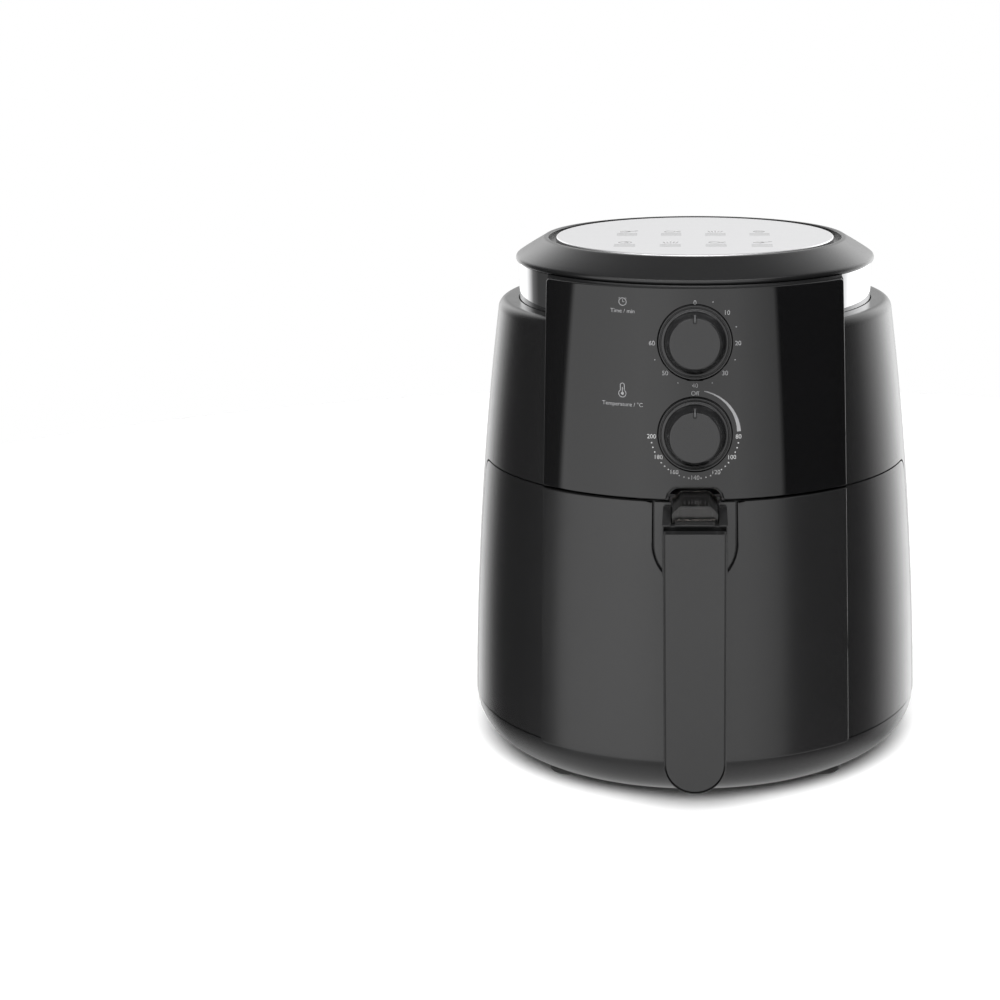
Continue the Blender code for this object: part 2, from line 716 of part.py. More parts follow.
def make_drawer_fascia():
    top = SPLIT_Z - 0.5
    fascia = turned("drawer_fascia", wall_ring(top, BASE_RIM - 0.3, PROUD, 0.4, 4))
    keep(fascia, centre_strip("fascia_outline"))
    cut(fascia, shield_outline("shield_hole", SHIELD_HALF + 0.8, SHIELD_BOTTOM - 0.8))
    finish(fascia, "satin_black")


def tub(name, half, front, back, bottom, top, rim, corner):
    """A tapered pan with round corners and a flat outward rim."""
    shrink = (0.045, 0.045)
    body = box(name, (-half, front, bottom), (half, back, top), corner, "Z", 5, taper=shrink)
    edge = box(name + "_rim", (-half - rim, front - rim, top - SHEET), (half + rim, back + rim, top),
               corner + rim, "Z", 5)
    fuse(body, edge)
    inner = half - SHEET
    low = (-inner, front + SHEET, bottom + SHEET)
    high = (inner, back - SHEET, top + 8)
    cut(body, box(name + "_inside", low, high, corner - SHEET, "Z", 5, taper=shrink))
    return body


def make_pan():
    pan = tub("pan", PAN_HALF, PAN_FRONT, PAN_BACK, PAN_BOTTOM, PAN_TOP, PAN_RIM, 46)
    finish(pan, "coated_steel")


def make_basket():
    basket = tub(
        "basket", BASKET_HALF, BASKET_FRONT, BASKET_BACK, BASKET_BOTTOM, BASKET_TOP, 3, 41
    )
    first = -1.5 * HOLE_PITCH
    middle = (BASKET_FRONT + BASKET_BACK) / 2
    hole = cylinder("floor_holes", HOLE_RADIUS, 40, 52, (first, middle + first), 8)
    spread(hole, 4, (HOLE_PITCH, 0, 0))
    spread(hole, 4, (0, HOLE_PITCH, 0))
    cut(basket, hole)
    cut(basket, box("strap_gap", (-15, -100, 160), (15, BASKET_FRONT - 0.4, 170)))
    finish(basket, "coated_steel")


def make_brackets():
    """Box bracket behind the drawer front, and the strap from the handle to the basket."""
    bracket = box("pan_bracket", (-28, -123.6, 74), (28, PAN_FRONT - 0.4, 128), 3, "Z", 2)
    cut(bracket, box("bracket_inside", (-26, -121.6, 60), (26, PAN_FRONT - 2.4, 140)))
    finish(bracket, "plain_steel")
    low = PAN_TOP + GAP
    strap = box("basket_strap", (-14, -125.6, low), (14, -94.2, low + 1.5), 0.6, "X", 1)
    fuse(strap, box("strap_hook", (-13.5, -95.6, 148), (13.5, -94.3, low + 1)))
    fuse(strap, box("strap_tab", (-13.5, -125.5, 160), (13.5, -124.2, low + 1)))
    finish(strap, "plain_steel")


def grip(name, front, back, inset=0.0):
    """Upright bar with a half-round foot."""
    half = GRIP_HALF - inset
    low = (-half, front, GRIP_BOTTOM + inset)
    high = (half, back, GRIP_TOP)
    return box(name, low, high, half - 0.05, "Y", 10, where=lambda p: p.z < 100)


def make_handle():
    """Rear moulding with bridge and shield, and the flat front cover that closes it."""
    body = turned("handle_body", wall_ring(SPLIT_Z - 0.6, 120, PROUD, 0.6, 3))
    keep(body, shield_outline("shield_shape", SHIELD_HALF, SHIELD_BOTTOM))
    bridge = box("bridge", (-BRIDGE_HALF, GRIP_SPLIT, BRIDGE_BOTTOM), (BRIDGE_HALF, -129.6, BRIDGE_TOP))
    fuse(body, bridge)
    fuse(body, grip("grip_rear", GRIP_SPLIT, GRIP_BACK, 0.4))
    cut(body, box("rear_hollow", (-13.5, GRIP_SPLIT - 5, 44), (13.5, GRIP_BACK - 2.5, 142), 4, "Y"))
    cut(body, box("button_pocket", (-9.6, -152.6, 156), (9.6, -132.4, 190)))
    for side in (-1, 1):
        near, far = sorted((side * (GUARD_HALF - 1.6), side * (GUARD_HALF + 0.4)))
        cut(body, box("guard_track", (near, -180, 174.4), (far, -120, 190)))
    for z in HANDLE_SCREW_HEIGHTS:
        low = GRIP_BACK - 9
        hole = empty("handle_hole", (0, low, z), -math.pi / 2, root)
        cut(body, cylinder("handle_screw_hole", 1.9, -5, 20, steps=8, parent=hole))
        cut(body, cylinder("handle_screw_recess", 3.9, 6.8, 20, steps=12, parent=hole))
    finish(body, "satin_black")
    cover = grip("handle_cover", -HANDLE_FRONT, GRIP_SPLIT - GAP)
    edge = cover.modifiers.new("soft edges", "BEVEL")
    edge.width = 0.0007
    edge.segments = 2
    edge.limit_method = "ANGLE"
    edge.angle_limit = math.radians(60)
    cut(cover, box("cover_hollow", (-13.5, -172.6, 44), (13.5, -160, 168), 4, "Y"))
    finish(cover, "dark_grey")


def make_handle_screws():
    """Screws from the grip's back; the cover's side of each stops in the hollow."""
    screw = [(0, 8.9), (3.4, 8.9), (3.4, 7.2), (1.6, 7.2), (1.6, 2), (0, 2)]
    for name, z in zip(("handle_screw_lower", "handle_screw_upper"), HANDLE_SCREW_HEIGHTS):
        place = empty(name + "_place", (0, GRIP_BACK - 9, z), -math.pi / 2, root)
        finish(turned(name, screw, False, 8, place), "plain_steel")


def make_release_button():
    low, high = (-BUTTON_HALF, -152, 166), (BUTTON_HALF, -133, 180.4)
    button = box("release_button", low, high, 1.5, "Y", 2, where=lambda p: p.z > 170)
    ribs = spread(box("button_ribs", (-6, -150.4, 179.5), (6, -149.2, 182)), 6, (0, 3, 0))
    finish(cut(button, ribs), "dark_grey")
    turns, radius, points = 3, 4.0, []
    bottom, top = 156.8, 165.2
    for i in range(turns * 8 + 1):
        angle = 2 * math.pi * i / 8
        place = (radius * math.cos(angle), -142.5 + radius * math.sin(angle))
        points.append((*place, bottom + (top - bottom) * i / (turns * 8)))
    finish(tube("button_spring", points, 0.45), "plain_steel")


def make_button_guard():
    """Clear sliding cap over the button, open below and behind."""
    low, high = (-GUARD_HALF, -160, 174.8), (GUARD_HALF, -128.2, GUARD_TOP)
    guard = box("button_guard", low, high, 2.4, "Y", 3, where=lambda p: p.z > 180)
    inner = GUARD_HALF - 1.3
    cut(guard, box("guard_inside", (-inner, -158.7, 160), (inner, -100, GUARD_TOP - 1.4)))
    cut(guard, box("guard_front_foot", (-inner, -170, 160), (inner, -150, BRIDGE_TOP + 0.4)))
    finish(guard, "smoky_clear")


clear_scene()
parts = collection("air_fryer")
cutters = collection("cutters")
root = empty("body_axis", (0, AXIS_Y, 0))

timer_axis = dial_axis("timer_axis", TIMER_Z)
temperature_axis = dial_axis("temperature_axis", TEMPERATURE_Z)
gland_axis = empty("gland_axis", (0, body_radius(GLAND_Z), GLAND_Z), -math.pi / 2, root)
sensor_axis = empty("sensor_axis", (0, 0, 0), -math.pi / 2, root)
fan_axis = empty("fan_axis", (0, 0, 0), 0, root)

make_outer_housing()
make_control_pod()
make_control_panel()
make_bezels()
make_neck_band()
make_lid()
make_base()
make_feet_and_screws()
make_rear_grille()
make_cord_gland()
make_inner_chamber()
make_guide_rails()
make_ceiling_deck()
make_heater_shroud()
make_heating_element()
make_heater_clips()
make_heater_guard()
make_air_duct()
make_motor()
make_fans()
make_dial("timer_knob", "timer_shaft", "timer_unit", timer_axis, 17, 30)
make_dial("temperature_knob", "thermostat_shaft", "thermostat_unit", temperature_axis, 15, 28)
make_timer_bell()
make_sensing_bulb()
make_thermal_cutout()
make_interlock_switch()
make_drawer_front()
make_drawer_fascia()
make_pan()
make_basket()
make_brackets()
make_handle()
make_handle_screws()
make_release_button()
make_button_guard()
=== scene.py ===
# %% [markdown]
# # An air fryer with a pull-out drawer
# The real appliance is a round plastic housing with a metal cooking chamber inside. The
# measured model gives every part its size and its motion. This lesson makes the parts that
# show again, smoothly, and gives each one the finish of its real material.

# %% Load the measured model
import math

import bmesh
import bpy
from mathutils import Matrix, Vector


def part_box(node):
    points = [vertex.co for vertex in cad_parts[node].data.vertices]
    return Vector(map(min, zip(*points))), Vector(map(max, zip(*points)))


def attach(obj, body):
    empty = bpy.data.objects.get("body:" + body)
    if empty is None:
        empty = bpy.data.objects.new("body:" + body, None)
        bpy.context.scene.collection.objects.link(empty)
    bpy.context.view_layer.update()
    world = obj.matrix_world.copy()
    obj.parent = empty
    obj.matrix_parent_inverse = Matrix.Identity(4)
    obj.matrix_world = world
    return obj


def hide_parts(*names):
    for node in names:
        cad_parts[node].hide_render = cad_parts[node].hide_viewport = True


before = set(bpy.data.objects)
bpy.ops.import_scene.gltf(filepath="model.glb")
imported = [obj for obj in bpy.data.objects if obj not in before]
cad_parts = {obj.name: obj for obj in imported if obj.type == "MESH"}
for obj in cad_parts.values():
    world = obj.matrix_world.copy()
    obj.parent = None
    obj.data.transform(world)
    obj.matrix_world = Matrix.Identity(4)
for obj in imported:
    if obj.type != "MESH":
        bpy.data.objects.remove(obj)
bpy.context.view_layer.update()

MM = 0.001
STEPS = 172  # facets round the body
AXIS_Y = sum(corner.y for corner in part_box("base_tray")) / 2  # the body's upright axis

# %% [markdown]
# ## Camera
# A product is shown from the front and a little above, with a fairly long lens, so that its
# upright sides stay nearly parallel. The camera is turned down by about fifteen degrees.

# %% Camera
CAMERA_AWAY, CAMERA_UP, CAMERA_TILT = 1.17394, 0.46463, 15.281
bpy.ops.object.camera_add(
    location=(0, AXIS_Y - CAMERA_AWAY, CAMERA_UP),
    rotation=(math.radians(90 - CAMERA_TILT), 0, 0),
)
camera = bpy.context.object
camera.name = "product_camera"
camera.data.sensor_width = 36
camera.data.lens = 71.92
camera.data.shift_x = -0.195
bpy.context.scene.camera = camera
print("camera height in m:", camera.location.z)

# %% [markdown]
# ## Light
# A studio for glossy black things is mostly about what the surface mirrors. One wide, soft
# panel of light stands in front, the sides of the room are dark, and brighter strips behind
# the object draw its edges. A painted sky does the same as real softboxes and stays out of the
# picture: the camera itself only sees white. First come three small helpers for its nodes.

# %% Node helpers
def link(tree, source, target):
    tree.links.new(source, target)


def math_node(tree, kind, first, second):
    """One Math node; a number is typed in and a socket is linked."""
    node = tree.nodes.new("ShaderNodeMath")
    node.operation = kind
    for slot, value in zip(node.inputs, (first, second)):
        if isinstance(value, (int, float)):
            slot.default_value = value
        else:
            link(tree, value, slot)
    return node.outputs[0]


def ramp(tree, factor, stops):
    """A colour ramp with grey stops of (place, brightness)."""
    node = tree.nodes.new("ShaderNodeValToRGB")
    link(tree, factor, node.inputs[0])
    marks = node.color_ramp.elements
    while len(marks) < len(stops):
        marks.new(0.5)
    for mark, (place, level) in zip(marks, stops):
        mark.position = place
        mark.color = (level, level, level, 1)
    return node.outputs[0]


# %% [markdown]
# The sky is painted by direction. Going round, a table of angles says how bright each wall of
# the room is, with 0 in front and 180 behind. Going up, another table keeps that light to a
# band at eye level. Floor and ceiling get a little light of their own, and a narrow bright
# strip high up in front draws thin lines along the rounded top edges.

# %% Directions
world = bpy.data.worlds.new("studio")
bpy.context.scene.world = world
world.use_nodes = True
sky = world.node_tree
look = sky.nodes.new("ShaderNodeTexCoord")
split = sky.nodes.new("ShaderNodeSeparateXYZ")
link(sky, look.outputs["Generated"], split.inputs[0])
forward = math_node(sky, "MULTIPLY", split.outputs["Y"], -1.0)
bearing = math_node(sky, "ARCTAN2", split.outputs["X"], forward)
turn = math_node(sky, "MULTIPLY_ADD", bearing, 1 / math.tau)
turn.node.inputs[2].default_value = 0.5
height = math_node(sky, "MULTIPLY_ADD", split.outputs["Z"], 0.5)
height.node.inputs[2].default_value = 0.5

# %% [markdown]
# Each table holds only the stops that matter, and a ramp fills in between them. A ramp can't
# go past 1, so its stops are divided by the brightest and multiplied by it again afterwards.

# %% Brightness of the studio
BRIGHTEST = 8.0
COMPASS = [
    (-180, 0.9), (-168, 0.85), (-160, 1.8), (-152, 1.9), (-144, 1.3), (-137, 0.8), (-130, 0.15),
    (-122, 0.05), (-100, 0.05), (-75, 0.12), (-72, 1.5), (-30, 1.82), (-16, 1.75), (0, 1.5),
    (22, 1.5), (45, 0.95), (47.5, 0.04), (92, 0.04), (104, 0.15), (109, 0.6), (118, 1.2),
    (128, 1.8), (138, 2.3), (150, 2.4), (160, 1.9), (168, 0.9), (180, 0.9),
]
EYE_LEVEL = [
    (0.0, 0.0), (0.22, 0.0), (0.32, 1.0), (0.68, 1.0), (0.80, 0.5), (0.94, 0.0), (1.0, 0.0)
]
FLOOR_AND_CEILING = [
    (0.0, 1.0), (0.14, 0.8), (0.28, 0.1), (0.34, 0.0), (0.84, 0.0), (0.94, 0.2), (1.0, 0.2)
]
HIGH_STRIP = [(0.0, 0.0), (0.85, 0.0), (0.87, 1.0), (0.91, 1.0), (0.93, 0.0), (1.0, 0.0)]
walls = ramp(sky, turn, [(angle / 360 + 0.5, bright / BRIGHTEST) for angle, bright in COMPASS])
level = math_node(sky, "MULTIPLY", walls, BRIGHTEST)
level = math_node(sky, "MULTIPLY", level, ramp(sky, height, EYE_LEVEL))
level = math_node(sky, "ADD", level, ramp(sky, height, FLOOR_AND_CEILING))
front = math_node(sky, "MAXIMUM", forward, 0.0)
front_light = math_node(sky, "MULTIPLY", front, BRIGHTEST)
strip = math_node(sky, "MULTIPLY", ramp(sky, height, HIGH_STRIP), front_light)
level = math_node(sky, "ADD", level, strip)
shade = sky.nodes["Background"]
shade.inputs["Color"].default_value = (1, 1, 1, 1)
link(sky, level, shade.inputs["Strength"])
print("stops round the room:", len(COMPASS))

# %% [markdown]
# The camera must see plain white behind the object while the gloss sees the painted room. A
# Light Path node tells the two kinds of ray apart. The room doesn't light dull surfaces, so
# the lamp alone decides how dark the matt plastic and the shadow are.

# %% White behind everything
white = sky.nodes.new("ShaderNodeBackground")
white.inputs["Color"].default_value = (1, 1, 1, 1)
path = sky.nodes.new("ShaderNodeLightPath")
choose = sky.nodes.new("ShaderNodeMixShader")
link(sky, path.outputs["Is Camera Ray"], choose.inputs[0])
link(sky, shade.outputs[0], choose.inputs[1])
link(sky, white.outputs[0], choose.inputs[2])
link(sky, choose.outputs[0], sky.nodes["World Output"].inputs["Surface"])
bpy.context.scene.view_settings.view_transform = "Standard"
world.cycles_visibility.diffuse = False

# %% [markdown]
# What lights dull surfaces and throws the shadow is one very large round lamp, high up in
# front, so that the shadow is short, soft and darkest under the base. Nothing mirrors it.

# %% Lamp
bpy.ops.object.light_add(type="AREA", location=(0, AXIS_Y - 1.1, 2.0))
lamp = bpy.context.object
lamp.name = "overhead_softbox"
lamp.data.shape = "DISK"
lamp.data.size = 3.2
lamp.data.energy = 170
aim = Vector((0, AXIS_Y, 0.12)) - lamp.location
lamp.rotation_euler = aim.to_track_quat("-Z", "Y").to_euler()
lamp.visible_glossy = False
lamp.visible_camera = False

# %% [markdown]
# The floor is a disc of pale paper, just big enough for the shadow. It has no gloss and isn't
# mirrored, so the underside of the base stays clean.

# %% Floor
bpy.ops.object.select_all(action="DESELECT")
bpy.ops.mesh.primitive_circle_add(
    vertices=96, radius=1.0, fill_type="NGON", location=(0, AXIS_Y, 0)
)
floor = bpy.context.object
floor.name = "studio_floor"
paper = bpy.data.materials.new("floor_paper")
paper.use_nodes = True
paper_shader = paper.node_tree.nodes["Principled BSDF"]
paper_shader.inputs["Base Color"].default_value = (0.92, 0.92, 0.92, 1)
paper_shader.inputs["Roughness"].default_value = 0.9
paper_shader.inputs["Specular IOR Level"].default_value = 0.0
floor.data.materials.append(paper)
floor.visible_glossy = False
floor.visible_shadow = False

# %% [markdown]
# ## Finishes
# Moulded plastic is never one flat colour: the mould leaves a fine grain, the gloss wanders a
# little, and the tone drifts where the material flowed. Each finish below has a tone cloud, a
# gloss cloud and a fine bump, all in object coordinates so that they stay on the piece.

# %% One recipe for all finishes
def surface(
    name, colour, rough, grain=900, bump=0.1, depth=0.02, drift=0.12, stretch=(1, 1, 1), **sockets
):
    """A Principled material with drifting tone and gloss and a fine grain; depth is in mm."""
    material = bpy.data.materials.new(name)
    material.use_nodes = True
    tree = material.node_tree
    shader = tree.nodes["Principled BSDF"]
    place = tree.nodes.new("ShaderNodeTexCoord")
    scale = tree.nodes.new("ShaderNodeMapping")
    scale.inputs["Scale"].default_value = stretch
    link(tree, place.outputs["Object"], scale.inputs["Vector"])

    def noise(size, detail):
        node = tree.nodes.new("ShaderNodeTexNoise")
        node.inputs["Scale"].default_value = size
        node.inputs["Detail"].default_value = detail
        link(tree, scale.outputs[0], node.inputs["Vector"])
        return node.outputs[0]

    tone = tree.nodes.new("ShaderNodeMix")
    tone.data_type = "RGBA"
    link(tree, noise(28, 3), tone.inputs[0])
    darker, lighter = tone.inputs[6], tone.inputs[7]
    darker.default_value = (*[c * (1 - drift) for c in colour], 1)
    lighter.default_value = (*[c * (1 + drift) for c in colour], 1)
    link(tree, tone.outputs[2], shader.inputs["Base Color"])
    gloss = tree.nodes.new("ShaderNodeMapRange")
    gloss.inputs["To Min"].default_value = rough * 0.9
    gloss.inputs["To Max"].default_value = rough * 1.1
    link(tree, noise(60, 4), gloss.inputs["Value"])
    link(tree, gloss.outputs[0], shader.inputs["Roughness"])
    relief = tree.nodes.new("ShaderNodeBump")
    relief.inputs["Strength"].default_value = bump
    relief.inputs["Distance"].default_value = depth * MM
    link(tree, noise(grain, 2), relief.inputs["Height"])
    link(tree, relief.outputs[0], shader.inputs["Normal"])
    for socket, value in sockets.items():
        shader.inputs[socket.replace("_", " ")].default_value = value
    return material


# %% [markdown]
# The body is satin black, the panel a deep piano gloss, the dials and the drawer's strip a
# slightly greyer satin. The guard is smoky clear plastic that bends light. Chrome and brushed
# plate come next: brushing is the same noise, stretched thirty times along one direction.

# %% The finishes
FINISH = {
    "satin_black_plastic": surface("satin_charcoal", (0.007, 0.007, 0.0072), 0.25),
    "gloss_panel": surface("piano_gloss", (0.0025, 0.0025, 0.0027), 0.05, 90, 0.05, 0.01),
    "dark_grey_plastic": surface("satin_grey", (0.008, 0.008, 0.0082), 0.24),
    "clear_plastic": surface(
        "smoky_clear", (0.13, 0.12, 0.11), 0.14, 120, 0.1, 0.01, IOR=1.49, Transmission_Weight=1.0
    ),
    "rubber": surface("foot_rubber", (0.016, 0.016, 0.016), 0.75, 1400, 0.5, 0.03),
    "polished_band": surface(
        "mirror_chrome", (0.90, 0.90, 0.91), 0.06, 40, 0.05, 0.01, 0.03, Metallic=1.0
    ),
    "brushed_plate": surface(
        "brushed_silver", (0.80, 0.80, 0.81), 0.30, 700, 0.25, 0.01, 0.03, (1, 30, 1), Metallic=0.9
    ),
    "sheet_steel": surface(
        "galvanised_sheet", (0.56, 0.56, 0.57), 0.34, 300, 0.3, 0.02, 0.1, Metallic=1.0
    ),
    "coated_steel": surface(
        "non_stick_coating", (0.028, 0.028, 0.030), 0.32, 1600, 0.35, 0.02, 0.2, Metallic=0.2
    ),
    "switch_plastic": surface("ivory_nylon", (0.60, 0.56, 0.47), 0.5, 700, 0.2, 0.02),
}

# %% [markdown]
# A few pieces differ from the rest of their kind: the dials' caps, the button, which is left
# duller for the thumb, and the inks. Ink is a dull grey, as bright white would look stuck on.

# %% Local finishes
CAP = surface("dial_cap_satin", (0.007, 0.007, 0.0073), 0.22)
GRIP = surface("button_grip", (0.008, 0.008, 0.0082), 0.5, 700, 0.3, 0.02)
PRINT = surface("printed_ink", (0.32, 0.32, 0.32), 0.6, 500, 0.1, 0.01)
FAINT = surface("faint_grey_ink", (0.19, 0.19, 0.194), 0.6, 500, 0.1, 0.01)
PLATE_INK = surface("plate_ink", (0.27, 0.27, 0.27), 0.6, 500, 0.1, 0.01)
POINTER = surface("pointer_paint", (0.06, 0.06, 0.062), 0.45, 500, 0.1, 0.01)
LOCAL = (CAP, GRIP, PRINT, FAINT, PLATE_INK, POINTER)
print("finishes:", len(FINISH) + len(LOCAL))

# %% [markdown]
# ## Tools of the bench
# Most parts of this appliance are turned: an outline is drawn beside the axis, one vertex
# extruded from corner to corner, and spun round. Openings are then cut with plain blocks,
# and a small bevel takes the sharpness off every edge, as a mould does.

# %% Places and selection
def at(x, y, z):
    """A point in millimetres about the body's axis, as a place in the scene."""
    return Vector((x * MM, AXIS_Y + y * MM, z * MM))


def take(piece):
    """Make one piece the only one that is selected."""
    bpy.ops.object.select_all(action="DESELECT")
    piece.select_set(True)
    bpy.context.view_layer.objects.active = piece


def edit(piece, action="DESELECT"):
    take(piece)
    bpy.ops.object.mode_set(mode="EDIT")
    bpy.ops.mesh.select_all(action=action)


def leave():
    bpy.ops.object.mode_set(mode="OBJECT")


def face_outwards(piece):
    """Turn every face of a closed piece to the outside."""
    edit(piece, "SELECT")
    bpy.ops.mesh.normals_make_consistent(inside=False)
    leave()


# %% [markdown]
# Drawing starts from a small plane that is merged to one vertex. The Spin tool turns the
# outline round, and where the ends meet the doubled points are merged, so the seam is closed.

# %% Drawing and turning
def draw(name, points, closed=True, fill=False):
    """Draw an outline: one vertex, extruded from point to point."""
    bpy.ops.object.select_all(action="DESELECT")
    bpy.ops.mesh.primitive_plane_add(size=MM)
    piece = bpy.context.object
    piece.name = name
    edit(piece, "SELECT")
    bpy.ops.mesh.merge(type="CENTER")
    bpy.ops.mesh.select_all(action="SELECT")
    bpy.ops.transform.translate(value=points[0])
    route = points + points[:1] if closed else points
    for here, there in zip(route, route[1:]):
        bpy.ops.mesh.extrude_vertices_move(TRANSFORM_OT_translate={"value": there - here})
    bpy.ops.mesh.select_all(action="SELECT")
    bpy.ops.mesh.remove_doubles(threshold=0.005 * MM)
    if fill:
        bpy.ops.mesh.select_all(action="SELECT")
        bpy.ops.mesh.edge_face_add()
    leave()
    return piece


def turn_round(name, profile, closed=True, steps=STEPS, centre=(0, 0), dial=None):
    """Turn a profile of (radius, height) points; with dial, about the dial axis at that height."""
    middle = at(centre[0], centre[1], 0) if dial is None else Vector()
    piece = draw(name, [middle + Vector((r * MM, 0, z * MM)) for r, z in profile], closed)
    edit(piece, "SELECT")
    bpy.ops.mesh.spin(steps=steps, angle=math.tau, center=middle, axis=(0, 0, 1))
    bpy.ops.mesh.select_all(action="SELECT")
    bpy.ops.mesh.remove_doubles(threshold=0.005 * MM)
    bpy.ops.mesh.normals_make_consistent(inside=False)
    leave()
    return piece if dial is None else on_dial(piece, dial)


def rod(name, radius, low, high, place=(0, 0), steps=24, dial=None):
    """A plain round cutter or pin."""
    outline = [(0, high), (radius, high), (radius, low), (0, low)]
    return turn_round(name, outline, False, steps, place, dial)


def push_out(piece, step):
    """Extrude a drawn face into a solid."""
    edit(piece, "SELECT")
    bpy.ops.mesh.extrude_region_move(TRANSFORM_OT_translate={"value": step})
    leave()
    face_outwards(piece)
    return piece


# %% [markdown]
# A block is a cube scaled between two corners. Its edges along one axis are chosen by their
# direction and place, and rounded with Bevel. Scaling its lower end gives it a draft.

# %% Blocks
def block(name, low, high, radius=0.0, along="Z", where=None, foot=1.0, segments=10):
    """A block with rounded edges along one axis; foot scales its lower end."""
    middle = [(a + b) / 2 for a, b in zip(low, high)]
    bpy.ops.object.select_all(action="DESELECT")
    bpy.ops.mesh.primitive_cube_add(size=1, location=at(*middle))
    piece = bpy.context.object
    piece.name = name
    piece.scale = [(b - a) * MM for a, b in zip(low, high)]
    bpy.ops.object.transform_apply(location=True, rotation=True, scale=True)
    axis = "XYZ".index(along)
    reach = (high[axis] - low[axis]) * MM / 2
    edit(piece)
    bpy.ops.mesh.select_mode(type="EDGE")
    if radius:
        mesh = bmesh.from_edit_mesh(piece.data)
        for edge in mesh.edges:
            a, b = (v.co for v in edge.verts)
            centre = ((a + b) / 2 - at(0, 0, 0)) / MM
            if abs(a[axis] - b[axis]) > reach and (where is None or where(centre)):
                edge.select_set(True)
        bmesh.update_edit_mesh(piece.data)
        bpy.ops.mesh.bevel(offset=radius * MM, segments=segments, affect="EDGES")
    if foot != 1.0:
        bpy.ops.mesh.select_all(action="DESELECT")
        mesh = bmesh.from_edit_mesh(piece.data)
        for vert in mesh.verts:
            vert.select = vert.co.z < middle[2] * MM
        mesh.select_flush(True)
        bmesh.update_edit_mesh(piece.data)
        bpy.ops.transform.resize(
            value=(foot, foot if along == "Z" else 1, 1),
            center_override=at(middle[0], middle[1], low[2]),
        )
    leave()
    return piece


# %% [markdown]
# Boolean modifiers cut and fuse, and each cutter is thrown away once it's applied. Bevel then
# rounds every sharp edge a little, which catches the light, and weighted normals keep the
# large faces calm beside the small ones.

# %% Cutting and softening
def combine(piece, tool, how="DIFFERENCE"):
    """Cut with a tool shape, keep only what lies in it, or fuse it on."""
    change = piece.modifiers.new(how.lower(), "BOOLEAN")
    change.operation = how
    change.solver = "EXACT"
    change.object = tool
    take(piece)
    bpy.ops.object.modifier_apply(modifier=change.name)
    bpy.data.objects.remove(tool, do_unlink=True)
    return piece


def soften(piece, width=0.4, segments=2, angle=32, merge=0.06, clamp=True):
    """Take the sharpness off the edges and shade the rest smoothly."""
    edit(piece, "SELECT")
    bpy.ops.mesh.remove_doubles(threshold=merge * MM)
    bpy.ops.mesh.dissolve_degenerate(threshold=0.01 * MM)
    leave()
    if width:
        bevel = piece.modifiers.new("soft_edges", "BEVEL")
        bevel.width = width * MM
        bevel.segments = segments
        bevel.limit_method = "ANGLE"
        bevel.use_clamp_overlap = clamp
        bevel.angle_limit = math.radians(angle)
        take(piece)
        bpy.ops.object.modifier_apply(modifier=bevel.name)
    take(piece)
    bpy.ops.object.shade_smooth_by_angle(angle=math.radians(angle))
    even = piece.modifiers.new("even_shading", "WEIGHTED_NORMAL")
    even.keep_sharp = True
    bpy.ops.object.modifier_apply(modifier=even.name)
    return piece


# %% [markdown]
# A finished piece is painted, told which body it moves with, and takes over from the measured
# part whose place it fills.

# %% Fitting a piece
def fit(piece, body, finish, *nodes, ink=None):
    """Paint a finished piece, let it ride on its body and stand for its measured node."""
    piece.data.materials.clear()
    piece.data.materials.append(ink or FINISH[finish])
    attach(piece, body)
    if nodes:
        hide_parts(*nodes)
    print(piece.name, "on", body, "-", len(piece.data.polygons), "faces")
    return piece


# %% [markdown]
# ## The side wall
# Housing, drawer, panel and base all follow one wall. It is a long, shallow arc that leans in
# towards the top, so every piece asks the same function for its radius.

# %% The wall's arc
ARC, ARC_Z, WIDEST = 2119.0, -24.8, 135.8  # the arc's radius, its centre's height, body radius
SPLIT_Z = 178.0  # seam between the panel and the drawer
PROUD = 2.5  # how far the centre strip stands out
WALL = 2.5


def radius_at(z):
    """The body's outer radius at a height."""
    return WIDEST - ARC + math.sqrt(ARC ** 2 - (z - ARC_Z) ** 2)


def lean_at(z):
    """How far the wall leans in at a height, as an angle."""
    return math.asin((z - ARC_Z) / ARC)


def wall(top, bottom, offset, count):
    """Points down or up the wall, moved out by an offset."""
    heights = [top + (bottom - top) * i / count for i in range(count + 1)]
    return [(radius_at(z) + offset, z) for z in heights]


def shell(top, bottom, outer, inner, count=16):
    """The outline of a curved strip of wall."""
    return wall(top, bottom, outer, count) + wall(bottom, top, inner, count)


def arc(centre, radius, start, end, count):
    """Points on an arc in the outline's plane, between two angles in degrees."""
    angles = [math.radians(start + (end - start) * i / count) for i in range(count + 1)]
    return [(centre[0] + radius * math.cos(a), centre[1] + radius * math.sin(a)) for a in angles]


def on_dial(piece, z):
    """Move a piece made at the origin onto the panel, its Z out along a dial's axis."""
    take(piece)
    piece.location = at(0, -radius_at(z) - PROUD, z)
    piece.rotation_euler = (math.pi / 2 - lean_at(z), 0, 0)
    bpy.ops.object.transform_apply(location=True, rotation=True, scale=True)
    return piece


print("wall radius at foot and shoulder:", [round(radius_at(z), 1) for z in (30, 270)])

# %% [markdown]
# ## Housing
# The housing is one injection moulding. It is turned with its rounded shoulder, and then the
# drawer's opening, the vent, the holes for the shafts and the slot that takes the button's
# catch are cut out of it.

# %% Housing shell
TIMER_ROOM = ((-21, -111.5, 248), (21, -80, 300))


def side_tool(back, top):
    """Block with the drawer's outline from the side: round at its top back corner."""
    return block("side_tool", (-200, -220, -20), (200, back, top), 10, "X")


